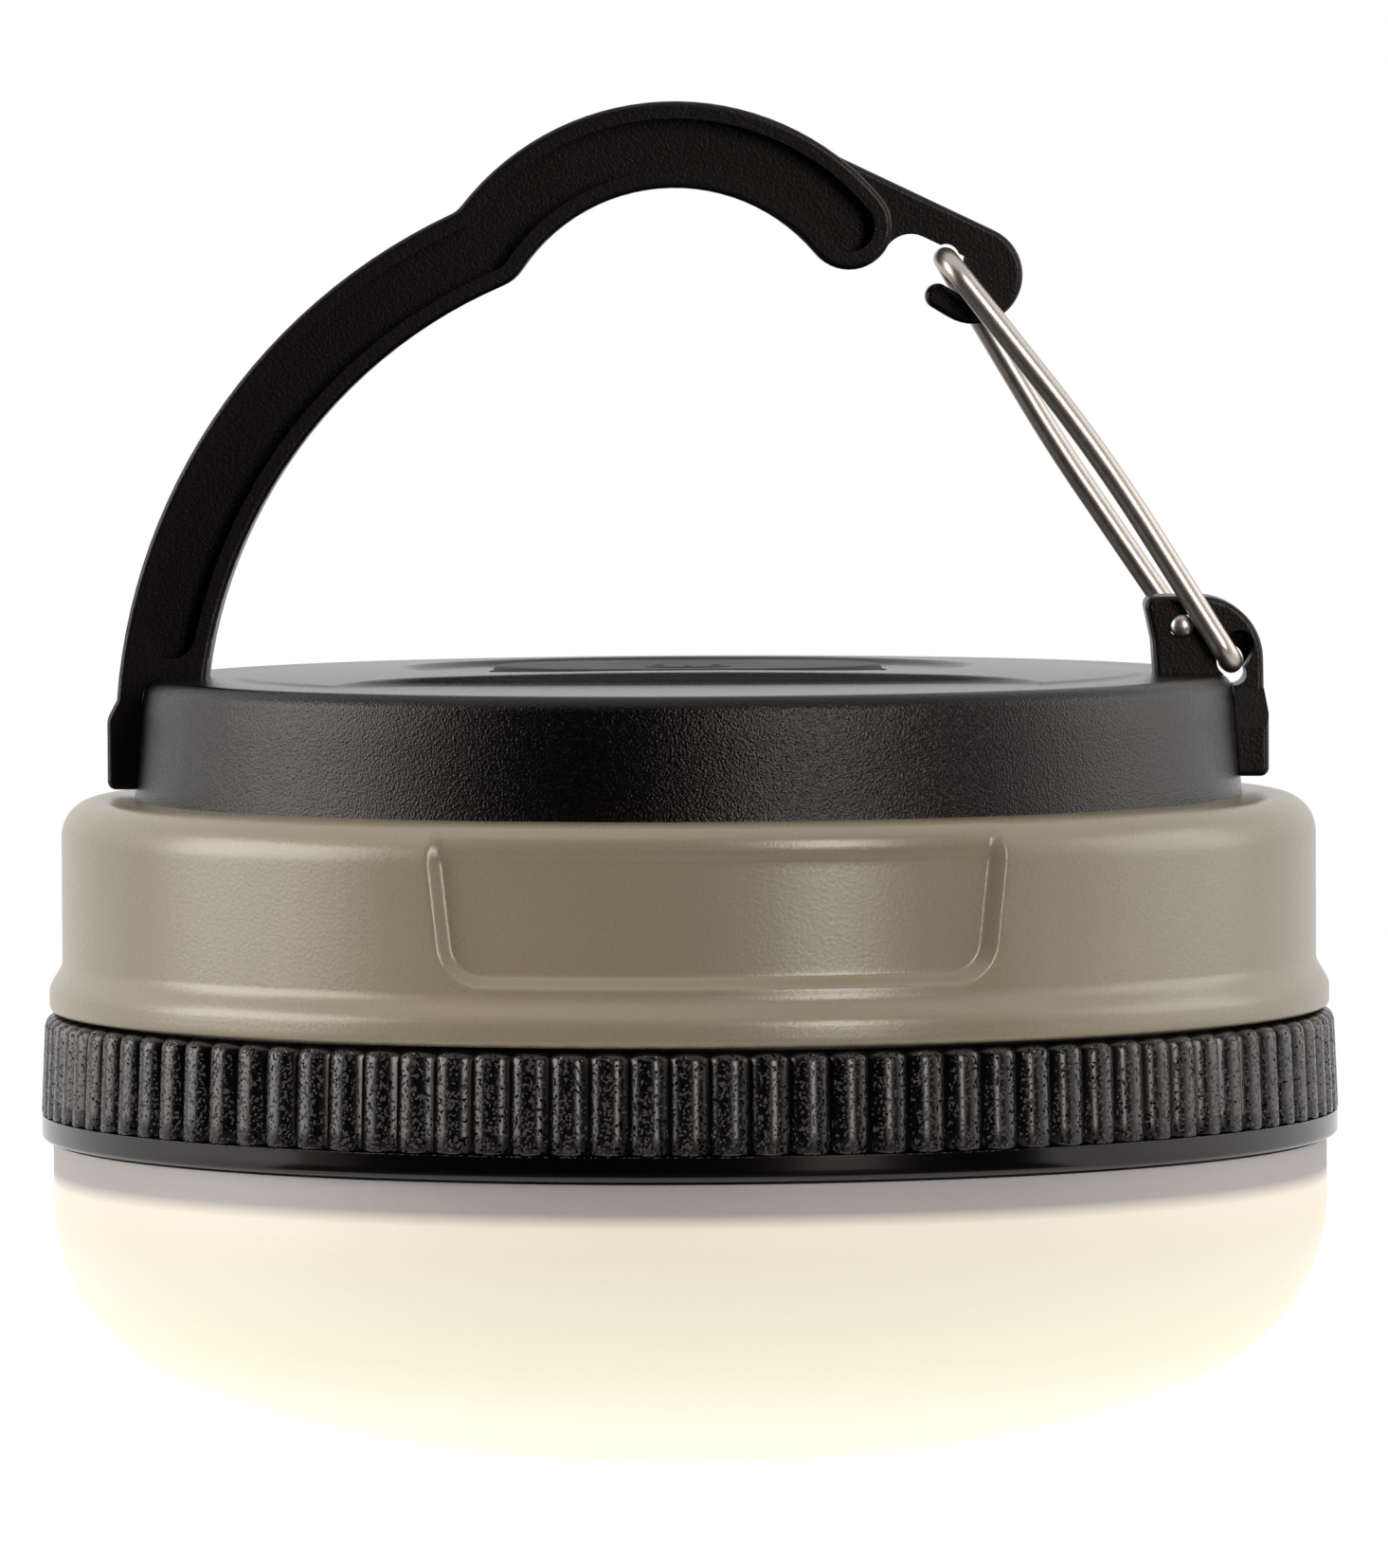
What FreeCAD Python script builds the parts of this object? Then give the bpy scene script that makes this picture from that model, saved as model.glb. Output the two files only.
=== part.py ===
import FreeCAD, Part
import math
import os

from FreeCAD import Vector as V

# Hanging camping lantern, in millimetres. Z is up, the origin is the middle of the dome's flat foot.
# The handle's arm is towards -X, its wire gate towards +X, and the front of the lantern is -Y.

# Heights of the four bands of the body, from the foot up
DIFFUSER_H = 21.8
RING_H = 8.8
BODY_H = 14.7
CAP_H = 8.3

# Outer radii
DIFFUSER_R = 44.2
RING_R = 45.0
LIP_R = 44.95
BODY_R = 43.5
BEAD_R = 44.4
CAP_R_LOW = 38.4
CAP_R_TOP = 37.75

# Dome: flat foot, crowned bottom, round corner, wall
FOOT_R = 9.0
CROWN_R = 71.0
CORNER_R = 13.4
DIFFUSER_WALL = 1.8
NECK_R = 41.6
NECK_WALL = 1.6

# Bezel ring and its screw thread
RIB_COUNT = 104
RIB_DEPTH = 0.62
RIB_CREST = 1.28
RIB_ROOT = 0.15
RING_CHAMFER = 0.5
LIP_H = 1.7
RING_BORE_R = 43.05
COLLAR_ROOT_R = 41.85
THREAD_LEAD = 2.0
THREAD_H = 0.9
THREAD_BASE = 1.0
THREAD_CREST = 0.5
THREAD_ROOTING = 0.3
THREAD_START_DEG = 25.0
COLLAR_H = 4.4
COLLAR_R_IN = 39.6
COLLAR_FLANGE_R = 42.6
COLLAR_FLANGE_T = 2.0

# Olive body
BODY_WALL = 1.9
SHOULDER_R = 2.6
BEAD_H = 2.3
PANEL_DEPTH = 0.9
PANEL_HALF = 19.2
PANEL_BEVEL = 0.7
PANEL_LIFT = 3.9
PANEL_TURN_DEG = 2.7
CAP_OPENING_R = 35.9

# Cap
CAP_WALL = 2.0
CAP_EDGE = 1.2
CAP_BEVEL = 0.27
SPIGOT_R = 35.6
SPIGOT_WALL = 2.0
SPIGOT_H = 3.4
BARB = 0.9
BRIDGE_R = 31.5
BRIDGE_EDGE_H = 0.15
BRIDGE_CROWN_H = 0.95
BRIDGE_HALF = 15.5
BRIDGE_FLAT = 17.0
BRIDGE_CORNER_R = 7.0
DISH_LENGTH = 39.0
DISH_WIDTH = 25.0
DISH_FLOOR_H = 0.3
SEAL_R = 0.7

# Button and switch
BUTTON_LENGTH = 27.0
BUTTON_WIDTH = 17.0
BUTTON_GAP = 0.3
BUTTON_PROUD = 0.75
BUTTON_FLANGE = 1.5
BUTTON_FLANGE_T = 1.1
BUTTON_TRAVEL = 1.0
BUTTON_DISH_R = 90.0
BUTTON_DISH = 0.25
BUTTON_RIM_R = 0.4
SWITCH_SIDE = 6.0
SWITCH_H = 2.1
PLUNGER_R = 1.7

# Handle, in the XZ plane; heights are above the cap's rim
ARM_CENTRE = (0.7, -4.55)
ARM_R = 37.3
GRIP_CENTRE = (-0.8, 21.1)
GRIP_R = 15.65
HANDLE_WIDTH = 6.0
HANDLE_DEPTH = 8.0
RIM_WIDTH = 1.2
POCKET_DEPTH = 2.0
GRIP_END_DEG = 39.5
ARM_FOOT_DEG = 176.0
POCKET_FOOT_DEG = 168.0
JOG_FILLET = 2.0
EDGE_FILLET = 0.4
NOSE_DEPTH = 4.0
HOOK_CENTRE = (19.9, 27.65)
HOOK_R = 3.4
NOSE_THICK = 2.5
LIP_LEAN_DEG = 31.0
LIP_HALF = 0.88
LIP_LENGTH = 1.35
WEB_R = 2.0
NOSE_ROOT_DEG = 13.0
SEAT_LIP = 1.3
FOOT_REACH = 40.15
FOOT_DROP = 7.6
POST_FOOT_DROP = 7.05
FOOT_TOP = -1.2
FOOT_SHOULDER = -2.7
FOOT_SHOULDER_R = 1.5
FOOT_CORNER_R = 0.6
ARM_SHOULDER = (38.9, -0.3)
POST_SHOULDER = (39.85, -1.0)
FOOT_SCREW_Y = 2.2
PEG_R = 1.0
PEG_INSET = 1.4

# Gate and its post
WIRE_R = 0.8
GATE_PIVOT = (34.18, 3.33)
GATE_SECOND = (37.6, 0.85)
GATE_TIP = (17.99, 28.77)
GATE_LEG_Y = 4.0
GATE_BEND_R = 2.0
GATE_BOW_FRONT = 0.9
GATE_BOW_REAR = -0.45
GATE_BOW_R = 120.0
GATE_OPEN_DEG = 18.0
POST_DEPTH = 6.0
POST_BACK = 2.68
POST_ABOVE = 2.07
POST_WAIST = (32.15, 2.3)
POST_BASE = 32.4
POST_ROUND = 4.4
PIVOT_CLEAR = 0.06
SLOT_FLOOR_Y = 1.5
SLOT_CLEAR = 0.22
SLOT_DRAIN = (37.85, 0.0)
SLOT_DRAIN_R = 0.8

# Batteries, three AA cells side by side
CELL_R = 7.25
CELL_LENGTH = 49.2
CELL_NUB_R = 2.75
CELL_NUB_H = 1.1
CELL_PITCH = 15.4
TRAY_WALL = 1.45
TRAY_END_WALL = 2.2
CONTACT_T = 0.4
SPRING_BOW = 1.2

# Boards and lamp
BOARD_T = 1.6
BOARD_LENGTH = 46.0
BOARD_WIDTH = 30.0
BOARD_TO_TRAY = 1.0
CARRIER_T = 1.5
CARRIER_R = 42.75
LED_BOARD_R = 33.0
LED_SIDE = 3.5
LED_H = 0.8
LED_CIRCLE_R = 22.0
LED_COUNT = 12
LED_SCREW_INSET = 4.0
LED_SCREW_DEG = 30.0
REFLECTOR_T = 1.0
GASKET_WALL = 1.6
PAD_T = 0.4
PIN_R = 0.9
PIN_HOLE_DEPTH = 6.0
LEAD_R = 0.6

# Fasteners
SCREW_R = 1.0
SCREW_HEAD_R = 1.8
SCREW_HEAD_H = 0.8
SCREW_CLEAR = 0.05
COLLAR_SCREW_L = 8.0
BOARD_SCREW_L = 4.0
TRAY_SCREW_L = 5.5

# Clearances
SLIP = 0.1
RUN = 0.2
TOUCH = 0.05

# Levels worked out from the bands
Z_RING = DIFFUSER_H
Z_BODY = Z_RING + RING_H
Z_CAP = Z_BODY + BODY_H
Z_TOP = Z_CAP + CAP_H
Z_FLANGE = Z_RING + LIP_H + RUN
Z_FLANGE_TOP = Z_FLANGE + CARRIER_T
Z_COLLAR = Z_BODY - COLLAR_H
Z_CEILING = Z_TOP - CAP_WALL
Z_BUTTON = Z_CEILING - SLIP - BUTTON_FLANGE_T
Z_BOARD_TOP = Z_BUTTON - BUTTON_TRAVEL - SWITCH_H - 4 * SLIP
Z_BOARD = Z_BOARD_TOP - BOARD_T
Z_TRAY_TOP = Z_BOARD - BOARD_TO_TRAY
CELL_Z = Z_TRAY_TOP - TRAY_WALL - CELL_R - RUN
TRAY_Z_LOW = CELL_Z - 0.75 * CELL_R
TRAY_HALF_X = CELL_PITCH + CELL_R + RUN + TRAY_WALL
CHANNEL_HALF_Y = CELL_LENGTH / 2 + CELL_NUB_H + CONTACT_T + SPRING_BOW / 2
TRAY_HALF_Y = CHANNEL_HALF_Y + TRAY_END_WALL
PIN_Y = CHANNEL_HALF_Y + TRAY_END_WALL / 2
PIN_TOP = TRAY_Z_LOW + PIN_HOLE_DEPTH
BOSS_R = 2.4
TRAY_BOSS = (TRAY_HALF_X + 3.6, 6.0)
BOARD_BOSS = (BOARD_LENGTH / 2 - 3.0, BOARD_WIDTH / 2 - 3.0)
LUG_R = 2.8
COLLAR_BOSS_R = BODY_R - BODY_WALL - LUG_R + 0.2
PEG_X = CAP_R_TOP - CAP_WALL - PEG_INSET
FOOT_SCREW_SEAT = (CAP_R_LOW + CAP_R_TOP) / 2 - CAP_WALL - SLIP


def cylinder(r, z0, z1, x=0.0, y=0.0):
    """Upright cylinder between two heights."""
    return Part.makeCylinder(r, z1 - z0, V(x, y, z0))


def tube(r_out, r_in, z0, z1):
    """Upright ring of rectangular section."""
    return cylinder(r_out, z0, z1).cut(cylinder(r_in, z0 - 1, z1 + 1))


def block(x0, x1, y0, y1, z0, z1):
    """Box between two corners."""
    return Part.makeBox(x1 - x0, y1 - y0, z1 - z0, V(x0, y0, z0))


def revolved(*steps):
    """Solid of revolution about Z. A step is a point (r, z), or a middle and an end point of an arc."""
    at = lambda p: V(p[0], 0, p[1])
    edges = []
    here = steps[0]
    for step in steps[1:] + (steps[0],):
        if isinstance(step[0], tuple):
            edges.append(Part.Arc(at(here), at(step[0]), at(step[1])).toShape())
            here = step[1]
        else:
            edges.append(Part.makeLine(at(here), at(step)))
            here = step
    return Part.Face(Part.Wire(edges)).revolve(V(0, 0, 0), V(0, 0, 1), 360)


def arc_point(centre, r, degrees):
    """Point on a circle in a plane, as a pair."""
    a = math.radians(degrees)
    return (centre[0] + r * math.cos(a), centre[1] + r * math.sin(a))


def oval(length, width, z0, z1):
    """Upright solid with straight sides along X and half-round ends."""
    half = (length - width) / 2
    r = width / 2
    middle = block(-half, half, -r, r, z0, z1)
    return middle.fuse([cylinder(r, z0, z1, -half), cylinder(r, z0, z1, half)]).removeSplitter()


def side_point(p, y=0.0):
    """A point of the handle's plane, given above the cap's rim, as a vector."""
    return V(p[0], y, Z_TOP + p[1])


def side_plate(points, depth):
    """Plate of that depth about Y = 0, with a polygon of the handle's plane as its outline."""
    loop = [side_point(p, -depth / 2) for p in points]
    return Part.Face(Part.makePolygon(loop + loop[:1])).extrude(V(0, depth, 0))


def side_disc(centre, r, y0, y1):
    """Disc across the handle's plane, between two depths."""
    return Part.makeCylinder(r, y1 - y0, side_point(centre, y0), V(0, 1, 0))


def side_band(centre, r, width, from_deg, to_deg, y0, y1):
    """Curved bar of the handle's plane: an arc of that middle radius and width, between two depths."""
    outer, inner = r + width / 2, r - width / 2
    middle = (from_deg + to_deg) / 2
    on = lambda radius, degrees: side_point(arc_point(centre, radius, degrees), y0)
    edges = [
        Part.Arc(on(outer, from_deg), on(outer, middle), on(outer, to_deg)).toShape(),
        Part.makeLine(on(outer, to_deg), on(inner, to_deg)),
        Part.Arc(on(inner, to_deg), on(inner, middle), on(inner, from_deg)).toShape(),
        Part.makeLine(on(inner, from_deg), on(outer, from_deg)),
    ]
    return Part.Face(Part.Wire(edges)).extrude(V(0, y1 - y0, 0))


def circles_meet(c1, r1, c2, r2):
    """The crossing of two circles that lies to the left of the line from the first to the second."""
    dx, dz = c2[0] - c1[0], c2[1] - c1[1]
    d = math.hypot(dx, dz)
    along = (r1 * r1 - r2 * r2 + d * d) / (2 * d)
    across = math.sqrt(r1 * r1 - along * along)
    return (c1[0] + (along * dx - across * dz) / d, c1[1] + (along * dz + across * dx) / d)


def direction_deg(centre, p):
    """Direction from a centre to a point, in degrees from 0 to 360."""
    return math.degrees(math.atan2(p[1] - centre[1], p[0] - centre[0])) % 360


def edges_along(shape, axis, near=None, within=0.6):
    """Straight edges parallel to an axis, or only those near one point of the handle's plane."""
    found = []
    for edge in shape.Edges:
        if not isinstance(edge.Curve, Part.Line):
            continue
        run = (edge.Vertexes[-1].Point - edge.Vertexes[0].Point).normalize()
        middle = edge.CenterOfMass
        if abs(run.dot(axis)) > 0.999 and (
            near is None or math.hypot(middle.x - near[0], middle.z - Z_TOP - near[1]) < within
        ):
            found.append(edge)
    return found


def helix_ridge(r_base, height_out, z0, turns):
    """Right-hand thread ridge of trapezoid section on a cylinder; a negative height points inwards."""
    way = math.copysign(1, height_out)
    path = Part.makeHelix(THREAD_LEAD, THREAD_LEAD * turns, r_base)
    path.translate(V(0, 0, z0))
    root = r_base - way * THREAD_ROOTING
    crest = r_base + height_out
    section = Part.makePolygon(
        [
            V(root, 0, z0 - THREAD_BASE / 2),
            V(crest, 0, z0 - THREAD_CREST / 2),
            V(crest, 0, z0 + THREAD_CREST / 2),
            V(root, 0, z0 + THREAD_BASE / 2),
            V(root, 0, z0 - THREAD_BASE / 2),
        ]
    )
    ridge = Part.Wire(path).makePipeShell([section], True, True)
    ridge.rotate(V(0, 0, 0), V(0, 0, 1), THREAD_START_DEG)
    return ridge


def swept_wire(points, bends, r):
    """Round wire along straight runs joined by tangent arcs, with one bend radius per corner."""
    starts, ends, mids = [], [], []
    for before, corner, after, bend in zip(points, points[1:], points[2:], bends):
        u = (before - corner).normalize()
        w = (after - corner).normalize()
        half = u.getAngle(w) / 2
        setback = bend / math.tan(half)
        centre = corner + (u + w).normalize() * (bend / math.sin(half))
        starts.append(corner + u * setback)
        ends.append(corner + w * setback)
        mids.append(centre + (corner - centre).normalize() * bend)
    edges = []
    here = points[0]
    for start, mid, end in zip(starts, mids, ends):
        edges.append(Part.makeLine(here, start))
        edges.append(Part.Arc(start, mid, end).toShape())
        here = end
    edges.append(Part.makeLine(here, points[-1]))
    circle = Part.Wire(Part.makeCircle(r, points[0], points[1] - points[0]))
    return Part.Wire(edges).makePipeShell([circle], True, False)


def screw(x, y, z_seat, length, up=1, axis=None):
    """Pan-head screw whose head sits under z_seat and whose shank runs up from it, or along an axis."""
    along = axis or V(0, 0, up)
    seat = V(x, y, z_seat)
    head = Part.makeCylinder(SCREW_HEAD_R, SCREW_HEAD_H, seat, along * -1)
    slot_half = 0.25
    across = V(0, 1, 0) if abs(along.z) > 0.5 else V(0, 0, 1)
    third = along.cross(across)
    corner = seat - along * (SCREW_HEAD_H + 1) - across * slot_half - third * SCREW_HEAD_R
    slot = Part.makeBox(2 * SCREW_HEAD_R, 2 * slot_half, 1.4)
    placement = FreeCAD.Matrix(
        third.x, across.x, along.x, corner.x,
        third.y, across.y, along.y, corner.y,
        third.z, across.z, along.z, corner.z,
        0, 0, 0, 1,
    )
    slot = slot.transformGeometry(placement)
    shank = Part.makeCylinder(SCREW_R, length, seat, along)
    return head.cut(slot).fuse(shank).removeSplitter()


def four_corners(pair):
    """The four mirror images of a point."""
    return [(sx * pair[0], sy * pair[1]) for sx in (-1, 1) for sy in (-1, 1)]


def around(count, r, start_deg=0.0):
    """Evenly spaced points on a circle about the lantern's axis."""
    return [arc_point((0, 0), r, start_deg + 360.0 * i / count) for i in range(count)]


def cap_envelope(grow):
    """The cap's outside, used to seat the handle's feet against it."""
    slope = (CAP_R_LOW - CAP_R_TOP) / CAP_H
    bevel = CAP_BEVEL * CAP_EDGE - grow
    return revolved(
        (0, Z_CAP - 5), (CAP_R_LOW + grow, Z_CAP - 5), (CAP_R_LOW + grow, Z_CAP),
        (CAP_R_TOP + slope * CAP_EDGE + grow, Z_TOP - CAP_EDGE),
        ((CAP_R_TOP - bevel, Z_TOP - bevel), (CAP_R_TOP - CAP_EDGE - grow, Z_TOP)), (0, Z_TOP),
    )


def diffuser():
    """Frosted dome with a flat foot, and a neck that passes through the bezel ring."""

    def outline(shrink):
        side = DIFFUSER_R - shrink
        corner = CORNER_R - shrink
        crown = CROWN_R - shrink
        rc = side - corner
        zc = CROWN_R - math.sqrt((crown - corner) ** 2 - (rc - FOOT_R) ** 2)
        meet = math.atan2(zc - CROWN_R, rc - FOOT_R)
        on_crown = lambda a: (FOOT_R + crown * math.cos(a), CROWN_R + crown * math.sin(a))
        on_corner = lambda a: (rc + corner * math.cos(a), zc + corner * math.sin(a))
        return [
            (0, shrink), (FOOT_R, shrink),
            (on_crown((meet - math.pi / 2) / 2), on_crown(meet)),
            (on_corner(meet / 2), on_corner(0)),
        ]

    top = Z_RING - RUN
    z_neck = Z_FLANGE + 0.5 * CARRIER_T
    neck_in = NECK_R - NECK_WALL
    inside_top = top - DIFFUSER_WALL
    outer = revolved(*outline(0), (DIFFUSER_R, top), (NECK_R, top), (NECK_R, z_neck), (0, z_neck))
    inner = revolved(
        *outline(DIFFUSER_WALL), (DIFFUSER_R - DIFFUSER_WALL, inside_top),
        (neck_in, inside_top), (neck_in, z_neck + 1), (0, z_neck + 1),
    )
    return outer.cut(inner)


def bezel_ring():
    """Ribbed ring with an inward lip under the lamp head's flange and a thread ridge in its bore."""
    z_top = Z_BODY - RUN
    z_rib = Z_RING + LIP_H
    step = 360.0 / RIB_COUNT
    crest = math.degrees(RIB_CREST / 2 / RING_R)
    root = math.degrees(RIB_ROOT / 2 / RING_R)
    r_root = RING_R - RIB_DEPTH
    turns = (-crest, crest, step / 2 - root, step / 2 + root)
    points = []
    for i in range(RIB_COUNT):
        for r, turn in zip((RING_R, RING_R, r_root, r_root), turns):
            x, y = arc_point((0, 0), r, i * step + turn)
            points.append(V(x, y, z_rib))
    ribs = Part.Face(Part.makePolygon(points + points[:1])).extrude(V(0, 0, z_top - z_rib))
    ribs = ribs.common(
        revolved(
            (0, z_rib - 1), (RING_R + 1, z_rib - 1), (RING_R + 1, z_top - RING_CHAMFER - 1),
            (RING_R - RING_CHAMFER, z_top), (0, z_top),
        )
    )
    lip = revolved(
        (0, Z_RING), (LIP_R - 0.3, Z_RING), (LIP_R, Z_RING + 0.3), (LIP_R, z_rib), (0, z_rib),
    )
    lip_bore = NECK_R + 1.5 * RUN
    bore = revolved(
        (0, Z_RING - 1), (lip_bore, Z_RING - 1), (lip_bore, z_rib), (RING_BORE_R, z_rib),
        (RING_BORE_R, z_top + 1), (0, z_top + 1),
    )
    ring = ribs.fuse(lip).cut(bore)
    z_ridge = Z_COLLAR + THREAD_BASE / 2 + TOUCH + THREAD_LEAD / 2
    ridge_turns = (z_top - THREAD_BASE / 2 - TOUCH - z_ridge) / THREAD_LEAD
    return ring.fuse(helix_ridge(RING_BORE_R, -THREAD_H, z_ridge, ridge_turns))


def thread_collar():
    """Threaded collar inside the body's skirt, with four screw lugs."""
    z_flange = Z_BODY + TOUCH
    z_top = z_flange + COLLAR_FLANGE_T
    collar = revolved(
        (COLLAR_R_IN, Z_COLLAR), (COLLAR_ROOT_R, Z_COLLAR), (COLLAR_ROOT_R, z_flange),
        (COLLAR_FLANGE_R, z_flange), (COLLAR_FLANGE_R, z_top), (COLLAR_R_IN, z_top),
    )
    for x, y in around(4, COLLAR_BOSS_R):
        collar = collar.fuse(cylinder(COLLAR_FLANGE_R - COLLAR_BOSS_R, z_flange, z_top, x, y))
    for x, y in around(4, COLLAR_BOSS_R):
        collar = collar.cut(cylinder(SCREW_R + SLIP, z_flange - 1, z_top + 1, x, y))
        collar = collar.cut(cylinder(SCREW_HEAD_R + SLIP, Z_COLLAR - 1, z_flange, x, y))
    z_ridge = Z_COLLAR + THREAD_BASE / 2 + TOUCH
    turns = (COLLAR_H - THREAD_BASE - 2 * TOUCH) / THREAD_LEAD
    return collar.fuse(helix_ridge(COLLAR_ROOT_R, THREAD_H, z_ridge, turns)).removeSplitter()


def collar_screws():
    """Four screws up through the collar's lugs into the body."""
    return [screw(x, y, Z_BODY + TOUCH, COLLAR_SCREW_L) for x, y in around(4, COLLAR_BOSS_R)]


def body_shell():
    """Olive shell: bead at the foot, round shoulder, two grip recesses, four screw bosses."""
    z_bead = Z_BODY + BEAD_H
    z_shoulder = Z_CAP - SHOULDER_R
    r_shoulder = BODY_R - SHOULDER_R
    arc = SHOULDER_R * math.sqrt(0.5)
    z_skirt = Z_BODY + TOUCH + COLLAR_FLANGE_T
    r_in = BODY_R - BODY_WALL
    skirt_in = COLLAR_FLANGE_R + RUN
    z_in = Z_CAP - BODY_WALL
    shell = revolved(
        (skirt_in, Z_BODY), (BEAD_R - 0.4, Z_BODY), (BEAD_R, Z_BODY + 0.4), (BEAD_R, z_bead - 0.5),
        (BODY_R, z_bead + 0.4), (BODY_R, z_shoulder),
        ((r_shoulder + arc, z_shoulder + arc), (r_shoulder, Z_CAP)),
        (CAP_OPENING_R, Z_CAP), (CAP_OPENING_R, z_in), (r_in - 1.5, z_in), (r_in, z_in - 1.5),
        (r_in, z_skirt), (skirt_in, z_skirt),
    )
    bosses = []
    for x, y in around(4, COLLAR_BOSS_R):
        bosses.append(cylinder(LUG_R, z_skirt, z_in + 0.5, x, y))
    shell = shell.fuse(bosses)
    for x, y in around(4, COLLAR_BOSS_R):
        shell = shell.cut(cylinder(SCREW_R + SCREW_CLEAR, z_skirt - 1, z_in - 1, x, y))
    floor_r = BODY_R - PANEL_DEPTH
    z_low = Z_BODY + PANEL_LIFT
    reach = 6.0
    slope = PANEL_BEVEL / PANEL_DEPTH
    recess = revolved(
        (floor_r, z_low + PANEL_BEVEL), (floor_r + reach, z_low + PANEL_BEVEL - reach * slope),
        (floor_r + reach, Z_CAP + 1), (floor_r, Z_CAP + 1),
    )
    inner_half = PANEL_HALF - PANEL_BEVEL
    outer_y = math.sqrt(BODY_R**2 - PANEL_HALF**2)
    inner_y = math.sqrt(floor_r**2 - inner_half**2)
    rise = (outer_y - inner_y) / PANEL_BEVEL
    far_y = BODY_R + reach
    far_half = PANEL_HALF + (far_y - outer_y) / rise
    near_half = inner_half / 2
    near_y = inner_y - rise * near_half
    for side in (-1, 1):
        plan = [(-far_half, far_y), (far_half, far_y), (near_half, near_y), (-near_half, near_y)]
        loop = [V(x, side * y, Z_BODY) for x, y in plan]
        wedge = Part.Face(Part.makePolygon(loop + loop[:1])).extrude(V(0, 0, BODY_H + 1))
        wedge.rotate(V(0, 0, 0), V(0, 0, 1), PANEL_TURN_DEG)
        shell = shell.cut(recess.common(wedge))
    return shell


def bridge_outline(z0, z1):
    """Raised bridge of the cap in plan: a disc with a flat-bottomed bite at the front and the back."""
    bridge = cylinder(BRIDGE_R, z0, z1)
    reach = BRIDGE_R + 1
    for side in (-1, 1):
        y0, y1 = sorted((side * BRIDGE_HALF, side * reach))
        half = BRIDGE_FLAT + BRIDGE_CORNER_R
        bite = block(-half, half, y0, y1, z0 - 1, z1 + 1)
        corners = edges_along(bite, V(0, 0, 1))
        inner = [e for e in corners if abs(abs(e.CenterOfMass.y) - BRIDGE_HALF) < 0.01]
        bridge = bridge.cut(bite.makeFillet(BRIDGE_CORNER_R, inner))
    return bridge


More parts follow.
